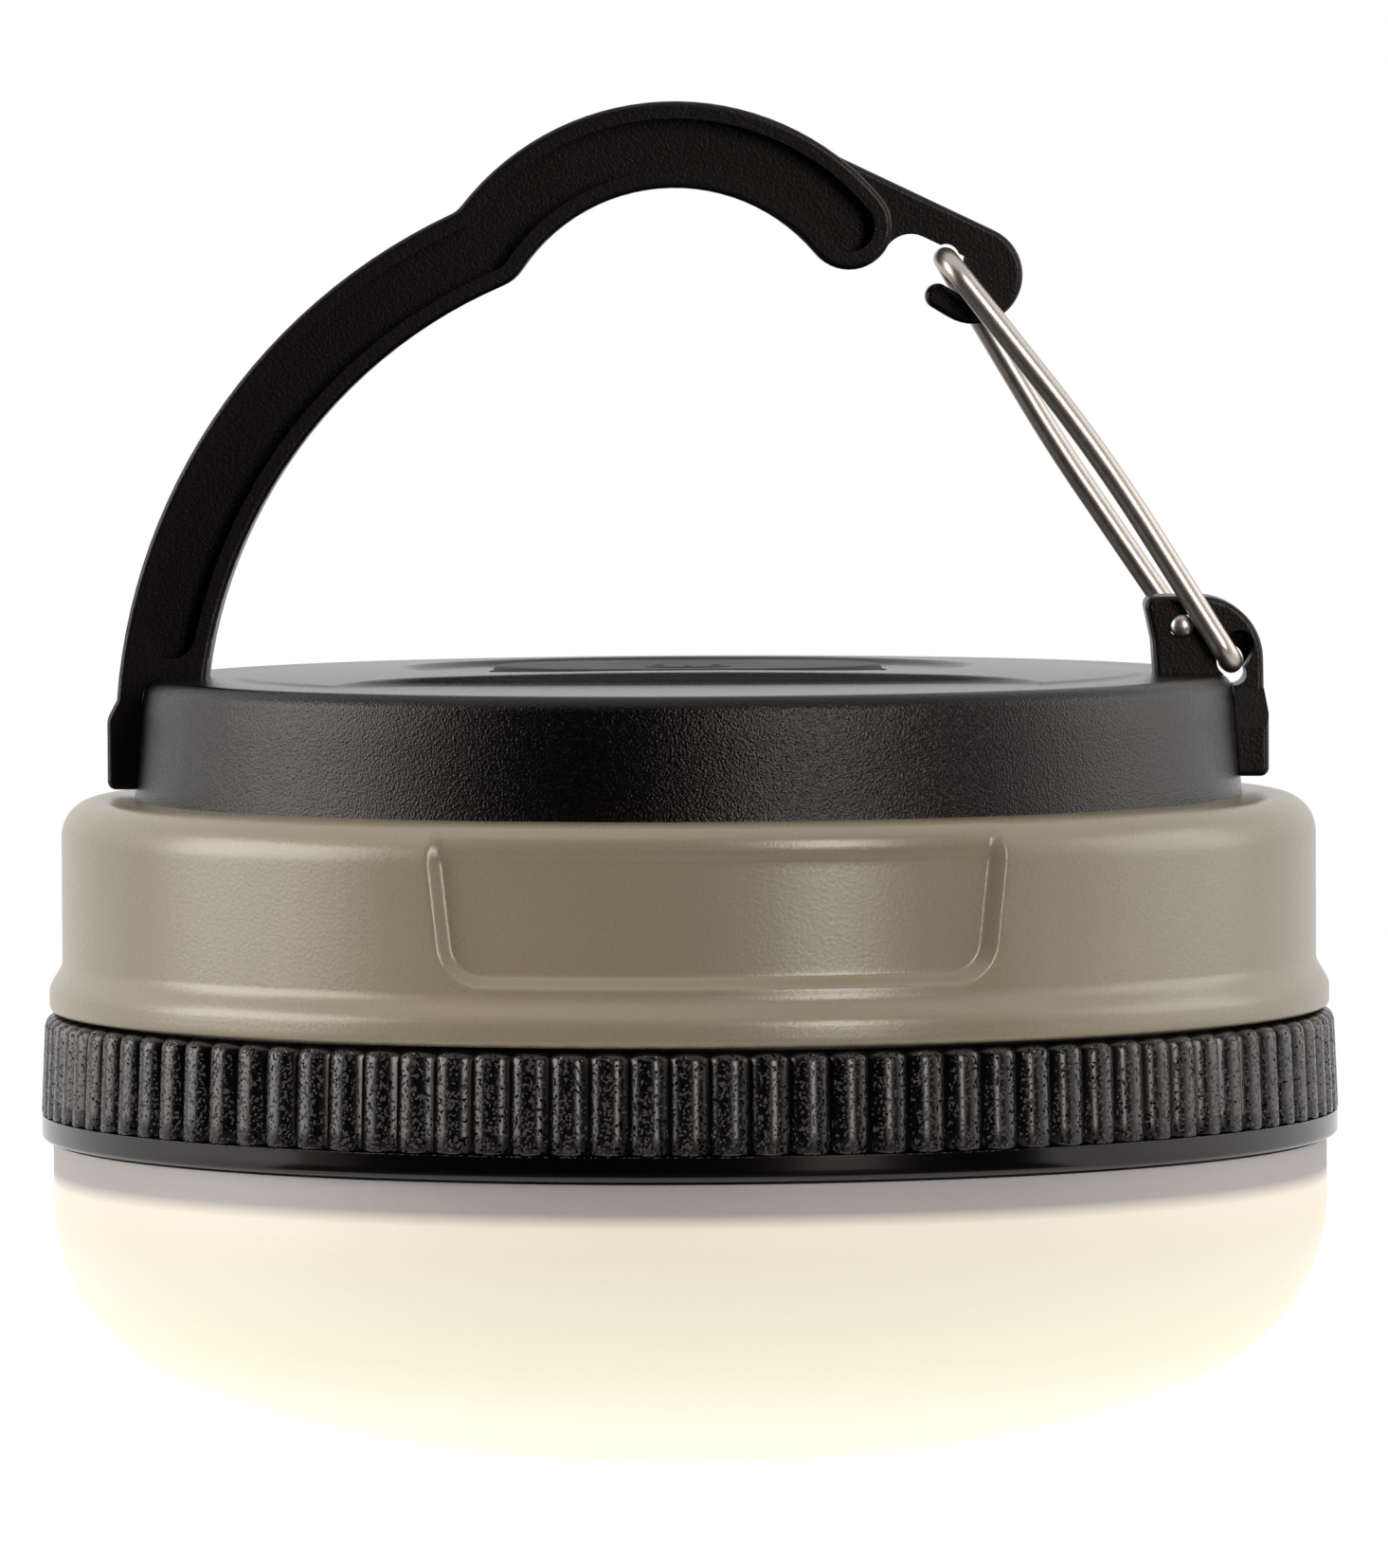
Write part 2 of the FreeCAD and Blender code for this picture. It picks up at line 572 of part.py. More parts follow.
def top_cap():
    """Black cap: tapered wall, raised bridge, button opening, spigot with barbs, screw bosses."""
    slope = (CAP_R_LOW - CAP_R_TOP) / CAP_H
    bevel = CAP_BEVEL * CAP_EDGE
    z_ledge = Z_CAP + 1.4
    r_ledge = CAP_R_LOW - slope * 1.4 - CAP_WALL
    spigot_in = SPIGOT_R - SPIGOT_WALL
    z_spigot = Z_CAP - SPIGOT_H
    z_groove = Z_CAP - BODY_WALL / 2
    groove = SEAL_R + SLIP
    groove_r = CAP_OPENING_R - 2 * SEAL_R - 2 * TOUCH
    cap = revolved(
        (CAP_R_LOW, Z_CAP), (CAP_R_TOP + slope * CAP_EDGE, Z_TOP - CAP_EDGE),
        ((CAP_R_TOP - bevel, Z_TOP - bevel), (CAP_R_TOP - CAP_EDGE, Z_TOP)),
        (0, Z_TOP), (0, Z_CEILING), (CAP_R_TOP - CAP_WALL, Z_CEILING), (r_ledge, z_ledge),
        (spigot_in, z_ledge), (spigot_in, z_spigot), (SPIGOT_R, z_spigot),
        (SPIGOT_R, z_groove - groove), (groove_r, z_groove - groove),
        (groove_r, z_groove + groove), (SPIGOT_R, z_groove + groove), (SPIGOT_R, Z_CAP),
    )
    crown_r = (BRIDGE_R**2) / (2 * (BRIDGE_CROWN_H - BRIDGE_EDGE_H))
    crown = Part.makeSphere(crown_r, V(0, 0, Z_TOP + BRIDGE_CROWN_H - crown_r))
    bridge = bridge_outline(Z_TOP - 0.5, Z_TOP + 2).common(crown)
    barb_top = Z_CAP - BODY_WALL - TOUCH
    barb_ring = revolved(
        (SPIGOT_R - 0.5, z_spigot), (SPIGOT_R, z_spigot), (SPIGOT_R + BARB, barb_top - 0.2),
        (SPIGOT_R + BARB, barb_top), (SPIGOT_R - 0.5, barb_top),
    )
    barb_half = 4.0
    cross = block(-BODY_R, BODY_R, -barb_half, barb_half, 0, Z_TOP)
    cross = cross.fuse(block(-barb_half, barb_half, -BODY_R, BODY_R, 0, Z_TOP))
    cross.rotate(V(0, 0, 0), V(0, 0, 1), 45)
    cap = cap.fuse([bridge, barb_ring.common(cross)])
    bosses = [cylinder(BOSS_R, Z_TRAY_TOP, Z_CEILING + 0.5, x, y) for x, y in four_corners(TRAY_BOSS)]
    bosses += [cylinder(BOSS_R, Z_BOARD_TOP, Z_CEILING + 0.5, x, y) for x, y in four_corners(BOARD_BOSS)]
    cap = cap.fuse(bosses)
    pilot = SCREW_R + SCREW_CLEAR
    for x, y in four_corners(TRAY_BOSS):
        cap = cap.cut(cylinder(pilot, Z_TRAY_TOP - 1, Z_CEILING, x, y))
    for x, y in four_corners(BOARD_BOSS):
        cap = cap.cut(cylinder(pilot, Z_BOARD_TOP - 1, Z_CEILING, x, y))
    for x, y, z in foot_screw_places():
        outwards = V(math.copysign(1, x), 0, 0)
        seat = V(FOOT_SCREW_SEAT * outwards.x, y, z)
        cap = cap.cut(Part.makeCylinder(pilot + SLIP, 8, seat - outwards, outwards))
        cap = cap.cut(Part.makeCylinder(SCREW_HEAD_R + SLIP, 3, seat, outwards * -1))
    for side in (-1, 1):
        cap = cap.cut(cylinder(PEG_R + SLIP, Z_CEILING - 1, Z_TOP + 1, side * PEG_X))
    cap = cap.cut(oval(DISH_LENGTH, DISH_WIDTH, Z_TOP + DISH_FLOOR_H, Z_TOP + 3))
    opening = oval(BUTTON_LENGTH + 2 * BUTTON_GAP, BUTTON_WIDTH + 2 * BUTTON_GAP, Z_CEILING - 1, Z_TOP + 3)
    return cap.cut(opening)


def cap_seal():
    """O-ring in the spigot's groove."""
    return Part.makeTorus(CAP_OPENING_R - TOUCH - SEAL_R, SEAL_R, V(0, 0, Z_CAP - BODY_WALL / 2))


def foot_screw_places():
    """Where the screws cross the cap's wall into the two feet."""
    z = Z_TOP + (FOOT_TOP - FOOT_DROP) / 2
    return [(side * CAP_R_LOW, y, z) for side in (-1, 1) for y in (-FOOT_SCREW_Y, FOOT_SCREW_Y)]


def handle_screws():
    """Four screws from inside the cap, outwards into the feet."""
    length = FOOT_REACH - 0.5 - FOOT_SCREW_SEAT
    made = []
    for x, y, z in foot_screw_places():
        side = math.copysign(1, x)
        made.append(screw(side * FOOT_SCREW_SEAT, y, z, length, axis=V(side, 0, 0)))
    return made


def foot(side, drop, shoulder):
    """A foot's lug outside the cap, not yet seated on it: a plate whose shoulder leans in to a point."""
    inner = CAP_R_TOP - 3
    low, high = (side * FOOT_REACH, -drop), (side * FOOT_REACH, FOOT_SHOULDER)
    outline = [(side * inner, -drop), low, high, (side * shoulder[0], shoulder[1]), (side * inner, shoulder[1])]
    lug = side_plate(outline, HANDLE_DEPTH)
    lug = lug.makeFillet(FOOT_CORNER_R, edges_along(lug, V(0, 1, 0), low, 0.05))
    lug = lug.makeFillet(FOOT_SHOULDER_R, edges_along(lug, V(0, 1, 0), high, 0.05))
    return lug.makeFillet(EDGE_FILLET, face_edges(lug, HANDLE_DEPTH / 2))


def face_edges(piece, half):
    """Edges that lie in the front or the back face of a plate of that half depth."""
    return [e for e in piece.Edges if all(abs(abs(v.Y) - half) < 1e-6 for v in e.Vertexes)
            and abs(abs(e.CenterOfMass.y) - half) < 1e-6]


def foot_holes(piece, side):
    """Cuts the screw holes into a foot."""
    for x, y, z in foot_screw_places():
        if x * side > 0:
            start = V(x - side * 4, y, z)
            length = FOOT_REACH - 0.4 - abs(start.x)
            piece = piece.cut(Part.makeCylinder(SCREW_R + SCREW_CLEAR, length, start, V(side, 0, 0)))
    return piece


def peg(side):
    """Locating peg that drops through the cap's top."""
    return cylinder(PEG_R, Z_CEILING, Z_TOP + 1, side * PEG_X)


def handle_jog():
    """Where the arm's and the grip's middle lines cross."""
    return circles_meet(ARM_CENTRE, ARM_R, GRIP_CENTRE, GRIP_R)


def handle_bar(width, arm_from_deg, y0, y1):
    """Arm and grip as one bar of that width, with round ends at the jog and at the grip's end."""
    jog = handle_jog()
    end = arc_point(GRIP_CENTRE, GRIP_R, GRIP_END_DEG)
    arm = side_band(ARM_CENTRE, ARM_R, width, direction_deg(ARM_CENTRE, jog), arm_from_deg, y0, y1)
    grip = side_band(GRIP_CENTRE, GRIP_R, width, GRIP_END_DEG, direction_deg(GRIP_CENTRE, jog), y0, y1)
    discs = [side_disc(jog, width / 2, y0, y1), side_disc(end, width / 2, y0, y1)]
    return arm.fuse([grip] + discs).removeSplitter()


def web_places(end, under, tangent):
    """Where the web's round meets the nose's underside, and its centre: it also touches the grip's end."""
    along = (math.cos(tangent), math.sin(tangent))
    down = (WEB_R * along[1], -WEB_R * along[0])
    first = (under[0] + down[0] - end[0], under[1] + down[1] - end[1])
    toward = first[0] * along[0] + first[1] * along[1]
    apart = WEB_R + HANDLE_WIDTH / 2
    shift = math.sqrt(toward**2 - first[0] ** 2 - first[1] ** 2 + apart**2) - toward
    corner = (under[0] + shift * along[0], under[1] + shift * along[1])
    return corner, (corner[0] + down[0], corner[1] + down[1])


def nose():
    """Arm of the nose and its hook, with the seat for the gate's wire."""
    half = NOSE_DEPTH / 2
    start = arc_point(GRIP_CENTRE, GRIP_R + HANDLE_WIDTH / 2, GRIP_END_DEG + NOSE_ROOT_DEG)
    end = arc_point(GRIP_CENTRE, GRIP_R, GRIP_END_DEG)
    tangent = math.atan2(HOOK_CENTRE[1] - start[1], HOOK_CENTRE[0] - start[0])
    tangent += math.asin(HOOK_R / math.hypot(HOOK_CENTRE[0] - start[0], HOOK_CENTRE[1] - start[1]))
    run = math.hypot(HOOK_CENTRE[0] - start[0], HOOK_CENTRE[1] - start[1])
    reach = math.sqrt(run**2 - HOOK_R**2)
    touch = (start[0] + reach * math.cos(tangent), start[1] + reach * math.sin(tangent))
    back = (touch[0] + NOSE_THICK * math.sin(tangent), touch[1] - NOSE_THICK * math.cos(tangent))
    arm = side_plate([start, touch, HOOK_CENTRE, back, end], NOSE_DEPTH)
    hook = side_disc(HOOK_CENTRE, HOOK_R, -half, half)
    under = (start[0] + NOSE_THICK * math.sin(tangent), start[1] - NOSE_THICK * math.cos(tangent))
    below = lambda x: (x, under[1] + (x - under[0]) * math.tan(tangent))
    lean = math.radians(LIP_LEAN_DEG)
    lip_way = (-math.cos(lean), math.sin(lean))
    inset = HOOK_R - LIP_HALF
    lip_root = (HOOK_CENTRE[0] - inset * lip_way[1], HOOK_CENTRE[1] + inset * lip_way[0])
    lip_end = (lip_root[0] + LIP_LENGTH * lip_way[0], lip_root[1] + LIP_LENGTH * lip_way[1])
    beside = lambda p, share: (p[0] + share * LIP_HALF * lip_way[1], p[1] - share * LIP_HALF * lip_way[0])
    far = (lip_end[0] + 3.0 * lip_way[0], lip_end[1] + 3.0 * lip_way[1])
    throat = (lip_root[0] + 0.35, lip_root[1] + 0.8)
    mouth = [below(under[0] - 3.0), below(GATE_TIP[0] + SEAT_LIP), throat]
    mouth = side_plate(mouth + [lip_root, beside(lip_root, -1.2), beside(far, -1.2)], NOSE_DEPTH + 2)
    bar = [beside(lip_root, 1), beside(lip_end, 1), beside(lip_end, -1), beside(lip_root, -1)]
    bar = side_plate(bar, NOSE_DEPTH)
    lip = bar.fuse(side_disc(lip_end, LIP_HALF, -half, half))
    seat = side_disc(GATE_TIP, WIRE_R + SLOT_CLEAR, -half - 1, half + 1)
    corner, web_centre = web_places(end, under, tangent)
    web = side_plate([end, web_centre, corner, start], NOSE_DEPTH)
    web = web.cut(side_disc(web_centre, WEB_R, -half - 1, half + 1))
    plate = arm.fuse(hook).cut(mouth).fuse([lip, web]).cut(seat).removeSplitter()
    apart = lambda v, p: math.hypot(v.X - p[0], v.Z - Z_TOP - p[1])
    clear = lambda v: apart(v, GATE_TIP) > WIRE_R + 3 * SLOT_CLEAR and apart(v, web_centre) > WEB_R + TOUCH
    return plate.makeFillet(EDGE_FILLET, [e for e in face_edges(plate, half) if all(map(clear, e.Vertexes))])


def carabiner_handle():
    """Arm, grip, nose and left foot in one moulding, with a channel in both faces."""
    half = HANDLE_DEPTH / 2
    bar = handle_bar(HANDLE_WIDTH, ARM_FOOT_DEG, -half, half)
    notch = circles_meet(ARM_CENTRE, ARM_R + HANDLE_WIDTH / 2, GRIP_CENTRE, GRIP_R + HANDLE_WIDTH / 2)
    bar = bar.makeFillet(JOG_FILLET, edges_along(bar, V(0, 1, 0), notch))
    bar = bar.makeFillet(EDGE_FILLET, face_edges(bar, half))
    pocket_width = HANDLE_WIDTH - 2 * RIM_WIDTH
    for y0, y1 in ((-half - 1, POCKET_DEPTH - half), (half - POCKET_DEPTH, half + 1)):
        channel = handle_bar(pocket_width, POCKET_FOOT_DEG, y0, y1)
        start = arc_point(ARM_CENTRE, ARM_R, POCKET_FOOT_DEG)
        bar = bar.cut(channel.fuse(side_disc(start, pocket_width / 2, y0, y1)))
    handle = bar.fuse([nose(), foot(-1, FOOT_DROP, ARM_SHOULDER)])
    handle = handle.cut(cap_envelope(TOUCH)).fuse(peg(-1))
    return foot_holes(handle, -1).removeSplitter()


def gate_post():
    """Post and right foot, with the gate's pivot hole and the curved slot for its other end."""
    left, top = GATE_PIVOT[0] - POST_BACK, GATE_PIVOT[1] + POST_ABOVE
    outline = [
        (POST_BASE, FOOT_TOP), POST_WAIST, (left, top), (POST_SHOULDER[0] - 0.1, top),
        POST_SHOULDER, (FOOT_REACH, FOOT_SHOULDER), (CAP_R_TOP, FOOT_SHOULDER),
    ]
    post = side_plate(outline, POST_DEPTH)
    for corner, radius in zip(outline[1:4], (3.0, 0.7, POST_ROUND)):
        post = post.makeFillet(radius, edges_along(post, V(0, 1, 0), corner, 0.05))
    post = post.makeFillet(EDGE_FILLET, face_edges(post, POST_DEPTH / 2))
    lug = foot(1, POST_FOOT_DROP, POST_SHOULDER)
    for side in (-1, 1):
        loop = [(side * HANDLE_DEPTH / 2, FOOT_SHOULDER - 1), (side * POST_DEPTH / 2, POST_SHOULDER[1])]
        loop.append((side * HANDLE_DEPTH / 2, POST_SHOULDER[1] + 0.1))
        corners = [V(CAP_R_TOP - 4, y, Z_TOP + z) for y, z in loop]
        lug = lug.cut(Part.Face(Part.makePolygon(corners + corners[:1])).extrude(V(8, 0, 0)))
    post = post.fuse(lug)
    post = post.cut(cap_envelope(TOUCH)).fuse(peg(1))
    half = POST_DEPTH / 2 + 1
    post = post.cut(side_disc(GATE_PIVOT, WIRE_R + PIVOT_CLEAR, -half, half))
    swing = math.hypot(GATE_SECOND[0] - GATE_PIVOT[0], GATE_SECOND[1] - GATE_PIVOT[1])
    first = direction_deg(GATE_PIVOT, GATE_SECOND)
    slot_r = WIRE_R + SLOT_CLEAR
    slot = side_band(GATE_PIVOT, swing, 2 * slot_r, first, first + GATE_OPEN_DEG, -half, SLOT_FLOOR_Y)
    ends = [arc_point(GATE_PIVOT, swing, first + turn) for turn in (0, GATE_OPEN_DEG)]
    slot = slot.fuse([side_disc(p, slot_r, -half, SLOT_FLOOR_Y) for p in ends])
    drain = [side_disc(GATE_SECOND, slot_r, -half, half), side_disc(SLOT_DRAIN, SLOT_DRAIN_R, -half, half)]
    slot = slot.fuse(drain)
    return foot_holes(post.cut(slot), 1).removeSplitter()


def bowed(low, high, out):
    """Middle of a leg of the gate, moved out of line by that much."""
    dx, dz = high[0] - low[0], high[1] - low[1]
    run = math.hypot(dx, dz)
    return ((low[0] + high[0]) / 2 + out * dz / run, (low[1] + high[1]) / 2 - out * dx / run)


def gate_wire():
    """Wire gate: pivot pin, rear leg, cross run in the hook, front leg, second pin."""
    y = GATE_LEG_Y
    points = [
        side_point(GATE_PIVOT, -POST_DEPTH / 2 - 0.7), side_point(GATE_PIVOT, y),
        side_point(bowed(GATE_PIVOT, GATE_TIP, GATE_BOW_REAR), y),
        side_point(GATE_TIP, y), side_point(GATE_TIP, -y),
        side_point(bowed(GATE_SECOND, GATE_TIP, GATE_BOW_FRONT), -y),
        side_point(GATE_SECOND, -y), side_point(GATE_SECOND, SLOT_FLOOR_Y - RUN),
    ]
    tight = y - POST_DEPTH / 2 + WIRE_R / 2
    return swept_wire(points, [tight, GATE_BOW_R, GATE_BEND_R, GATE_BEND_R, GATE_BOW_R, tight], WIRE_R)


def power_button():
    """Oval button with a dished top and a flange under the cap."""
    grow = 2 * BUTTON_FLANGE
    flange = oval(BUTTON_LENGTH + grow, BUTTON_WIDTH + grow, Z_BUTTON, Z_CEILING - SLIP)
    z_top = Z_TOP + BUTTON_PROUD
    top = oval(BUTTON_LENGTH, BUTTON_WIDTH, Z_BUTTON, z_top)
    rim = [e for e in top.Edges if abs(e.CenterOfMass.z - z_top) < 1e-6]
    top = top.makeFillet(BUTTON_RIM_R, rim)
    dish = Part.makeSphere(BUTTON_DISH_R, V(0, 0, z_top - BUTTON_DISH + BUTTON_DISH_R), V(0, 1, 0))
    return top.fuse(flange).cut(dish).removeSplitter()


def switch_plunger():
    """Plunger of the push switch, under the button."""
    return cylinder(PLUNGER_R, Z_BOARD_TOP + BUTTON_TRAVEL + SLIP, Z_BUTTON)


def push_switch():
    """Body of the push switch on the control board, with the plunger's well."""
    half = SWITCH_SIDE / 2
    body = block(-half, half, -half, half, Z_BOARD_TOP, Z_BOARD_TOP + SWITCH_H)
    return body.cut(cylinder(PLUNGER_R + SLIP, Z_BOARD_TOP - 1, Z_BOARD_TOP + SWITCH_H + 1))


def button_dome():
    """Silicone return dome between the control board and the button."""
    r_low, r_high, wall = SWITCH_SIDE, SWITCH_SIDE * 0.75, 0.8
    return revolved(
        (r_low, Z_BOARD_TOP), (r_low + 1.4, Z_BOARD_TOP), (r_low + 1.4, Z_BOARD_TOP + wall),
        (r_low + wall, Z_BOARD_TOP + wall), (r_high + wall, Z_BUTTON), (r_high, Z_BUTTON),
    )


def control_board():
    """Control board under the cap, with its four screw holes."""
    board = oval(BOARD_LENGTH, BOARD_WIDTH, Z_BOARD, Z_BOARD_TOP)
    x, y = BOARD_BOSS
    for px, py in four_corners(BOARD_BOSS):
        board = board.fuse(cylinder(BOSS_R, Z_BOARD, Z_BOARD_TOP, px, py))
    board = board.fuse(block(-x, x, -y - BOSS_R, y + BOSS_R, Z_BOARD, Z_BOARD_TOP))
    for px, py in four_corners(BOARD_BOSS):
        board = board.cut(cylinder(SCREW_R + SLIP, Z_BOARD - 1, Z_BOARD_TOP + 1, px, py))
    return board.removeSplitter()


def board_screws():
    """Four screws up through the control board into the cap's bosses."""
    return [screw(x, y, Z_BOARD, BOARD_SCREW_L) for x, y in four_corners(BOARD_BOSS)]


def driver_parts():
    """Inductor, driver chip, capacitor and two resistors on the control board."""
    z = Z_BOARD_TOP
    inductor = cylinder(2.2, z, z + 2.4, 12.0, -6.0).cut(cylinder(0.9, z + 1.0, z + 3, 12.0, -6.0))
    chip = block(-14.5, -10.5, -8.0, -3.0, z, z + 1.4)
    capacitor = block(10.0, 13.2, 3.2, 4.8, z, z + 1.2)
    resistors = [block(x, x + 2.0, 6.0, 7.2, z, z + 0.6) for x in (-13.0, -9.5)]
    return [inductor, chip, capacitor] + resistors


def battery_tray():
    """Tray with three troughs, open downwards, hung from the cap's outer bosses."""
    hx, hy, ch = TRAY_HALF_X, TRAY_HALF_Y, CHANNEL_HALF_Y
    tray = block(-hx, hx, -hy, hy, TRAY_Z_LOW, Z_TRAY_TOP)
    corners = edges_along(tray, V(0, 0, 1))
    tray = tray.makeFillet(3.0, corners)
    clear_r = SPIGOT_R - SPIGOT_WALL - 1.5 * RUN
    z_clear = Z_CAP - SPIGOT_H - RUN
    tray = tray.cut(tube(2 * hy, clear_r, z_clear, Z_TRAY_TOP + 1))
    r = CELL_R + RUN
    for i in (-1, 0, 1):
        tray = tray.cut(Part.makeCylinder(r, 2 * ch, V(i * CELL_PITCH, -ch, CELL_Z), V(0, 1, 0)))
    open_half = CELL_PITCH + r
    tray = tray.cut(block(-open_half, open_half, -ch, ch, TRAY_Z_LOW - 1, CELL_Z))
    ear_x, ear_y = TRAY_BOSS
    ear_z = Z_TRAY_TOP - TRAY_WALL
    for side in (-1, 1):
        x0, x1 = sorted((side * (hx - 1), side * ear_x))
        tray = tray.fuse(block(x0, x1, -ear_y - BOSS_R, ear_y + BOSS_R, ear_z, Z_TRAY_TOP))
    for x, y in four_corners(TRAY_BOSS):
        tray = tray.fuse(cylinder(BOSS_R, ear_z, Z_TRAY_TOP, x, y))
    for x, y in four_corners(TRAY_BOSS):
        tray = tray.cut(cylinder(SCREW_R + SLIP, ear_z - 1, Z_TRAY_TOP + 1, x, y))
    for side in (-1, 1):
        tray = tray.cut(cylinder(PIN_R + TOUCH, TRAY_Z_LOW - 1, PIN_TOP, 0, side * PIN_Y))
    return tray.removeSplitter()


def tray_screws():
    """Four screws up through the tray's ears into the cap's outer bosses."""
    seat = Z_TRAY_TOP - TRAY_WALL
    return [screw(x, y, seat, TRAY_SCREW_L) for x, y in four_corners(TRAY_BOSS)]


def cell_way(i):
    """Which way a cell's button points along Y; neighbours alternate."""
    return 1 if i % 2 == 0 else -1


def battery_cell(i):
    """One AA cell, its button against the plate and its flat end against the spring."""
    way = cell_way(i)
    y_plate = way * (CHANNEL_HALF_Y - CONTACT_T)
    along = V(0, -way, 0)
    tip = V(i * CELL_PITCH, y_plate, CELL_Z)
    can = Part.makeCylinder(CELL_R, CELL_LENGTH, tip + along * CELL_NUB_H, along)
    rims = [e for e in can.Edges if isinstance(e.Curve, Part.Circle)]
    return can.makeFillet(0.5, rims).fuse(Part.makeCylinder(CELL_NUB_R, CELL_NUB_H + 0.2, tip, along))


def contact_plates():
    """Flat plates against the cells' buttons."""
    half = 4.5
    made = []
    for i in (-1, 0, 1):
        y0, y1 = sorted((cell_way(i) * CHANNEL_HALF_Y, cell_way(i) * (CHANNEL_HALF_Y - CONTACT_T)))
        made.append(block(i * CELL_PITCH - half, i * CELL_PITCH + half, y0, y1, CELL_Z - half, CELL_Z + half))
    return made


def contact_springs():
    """Bowed leaf springs against the cells' flat ends."""
    half, width = 4.5, 5.0
    made = []
    for i in (-1, 0, 1):
        way = -cell_way(i)
        wall = way * CHANNEL_HALF_Y
        x = i * CELL_PITCH - width / 2
        gap = 2 * CHANNEL_HALF_Y - CONTACT_T - CELL_NUB_H - CELL_LENGTH
        at = lambda depth, z: V(x, wall - way * depth, CELL_Z + z)
        outer = Part.Arc(at(CONTACT_T, -half), at(gap, 0), at(CONTACT_T, half)).toShape()
        inner = Part.Arc(at(0, half), at(gap - CONTACT_T, 0), at(0, -half)).toShape()
        high_end = Part.makeLine(at(CONTACT_T, half), at(0, half))
        low_end = Part.makeLine(at(0, -half), at(CONTACT_T, -half))
        loop = Part.Wire([outer, high_end, inner, low_end])
        made.append(Part.Face(loop).extrude(V(width, 0, 0)))
    return made


def spring_pins():
    """Two spring pins from the tray's end walls down to the lamp head's pads."""
    low = Z_FLANGE_TOP + PAD_T + TOUCH
    collar_r = PIN_R + 0.4
    made = []
    for side in (-1, 1):
        pin = cylinder(PIN_R, low + 0.5, PIN_TOP, 0, side * PIN_Y)
        tip = cylinder(PIN_R * 0.6, low, low + 0.6, 0, side * PIN_Y)
        stop = cylinder(collar_r, TRAY_Z_LOW - 0.6, TRAY_Z_LOW, 0, side * PIN_Y)
        made.append(pin.fuse([tip, stop]).removeSplitter())
    return made


def battery_leads():
    """Two insulated leads from the tray up and over to the control board."""
    y_far, y_near = TRAY_HALF_Y - 5.0, BOARD_BOSS[1] - 4.0
    z_run = Z_BOARD_TOP + 1.8
    made = []
    for x in (-CELL_PITCH / 2, CELL_PITCH / 2):
        points = [V(x, y_far, Z_TRAY_TOP), V(x, y_far, z_run), V(x, y_near, z_run), V(x, y_near, Z_BOARD_TOP)]
        made.append(swept_wire(points, [1.5, 1.5], LEAD_R))
    return made


def head_gasket():
    """Flat gasket under the collar, against the lamp head's flange."""
    return tube(COLLAR_ROOT_R - TOUCH, COLLAR_ROOT_R - GASKET_WALL, Z_FLANGE_TOP + TOUCH, Z_COLLAR)


def lamp_screw_places():
    """Where the three screws of the lamp board stand."""
    return around(3, LED_BOARD_R - LED_SCREW_INSET, LED_SCREW_DEG)


def led_carrier():
    """Plate that closes the dome: flange over the bezel's lip, groove for the dome's neck."""
    z0, z1 = Z_FLANGE, Z_FLANGE_TOP
    plate = cylinder(CARRIER_R, z0, z1)
    groove = tube(NECK_R + TOUCH, NECK_R - NECK_WALL - TOUCH, z0 - 1, z0 + 0.5 * CARRIER_T)
    plate = plate.cut(groove)
    for x, y in lamp_screw_places():
        plate = plate.cut(cylinder(SCREW_R + SCREW_CLEAR, z0 - 1, z1 - 0.3, x, y))
    return plate


def led_board():
    """Aluminium lamp board under the carrier."""
    board = cylinder(LED_BOARD_R, Z_FLANGE - BOARD_T, Z_FLANGE)
    for x, y in lamp_screw_places():
        board = board.cut(cylinder(SCREW_R + SLIP, Z_FLANGE - BOARD_T - 1, Z_FLANGE + 1, x, y))
    return board


def led_screws():
    """Three screws up through the lamp board into the carrier."""
    return [screw(x, y, Z_FLANGE - BOARD_T, BOARD_T + 1.1) for x, y in lamp_screw_places()]


def led_places():
    """A ring of lamps and one in the middle."""
    return around(LED_COUNT, LED_CIRCLE_R) + [(0.0, 0.0)]


def leds():
    """Square lamps under the lamp board."""
    z1 = Z_FLANGE - BOARD_T
    half = LED_SIDE / 2
    return [block(x - half, x + half, y - half, y + half, z1 - LED_H, z1) for x, y in led_places()]


def reflector():
    """White plate under the lamp board, with a round window at each lamp and at each screw."""
    z1 = Z_FLANGE - BOARD_T
    plate = cylinder(NECK_R - NECK_WALL - RUN, z1 - REFLECTOR_T, z1)
    for x, y in led_places():
        plate = plate.cut(cylinder(LED_SIDE * 0.75, z1 - REFLECTOR_T - 1, z1 + 1, x, y))
    for x, y in lamp_screw_places():
        plate = plate.cut(cylinder(SCREW_HEAD_R + SLIP, z1 - REFLECTOR_T - 1, z1 + 1, x, y))
    return plate


def contact_pads():
    """Two brass pads on the carrier, under the spring pins."""
    half_x, half_y = 4.0, 2.2
    return [
        block(-half_x, half_x, s * PIN_Y - half_y, s * PIN_Y + half_y, Z_FLANGE_TOP, Z_FLANGE_TOP + PAD_T)
        for s in (-1, 1)
    ]


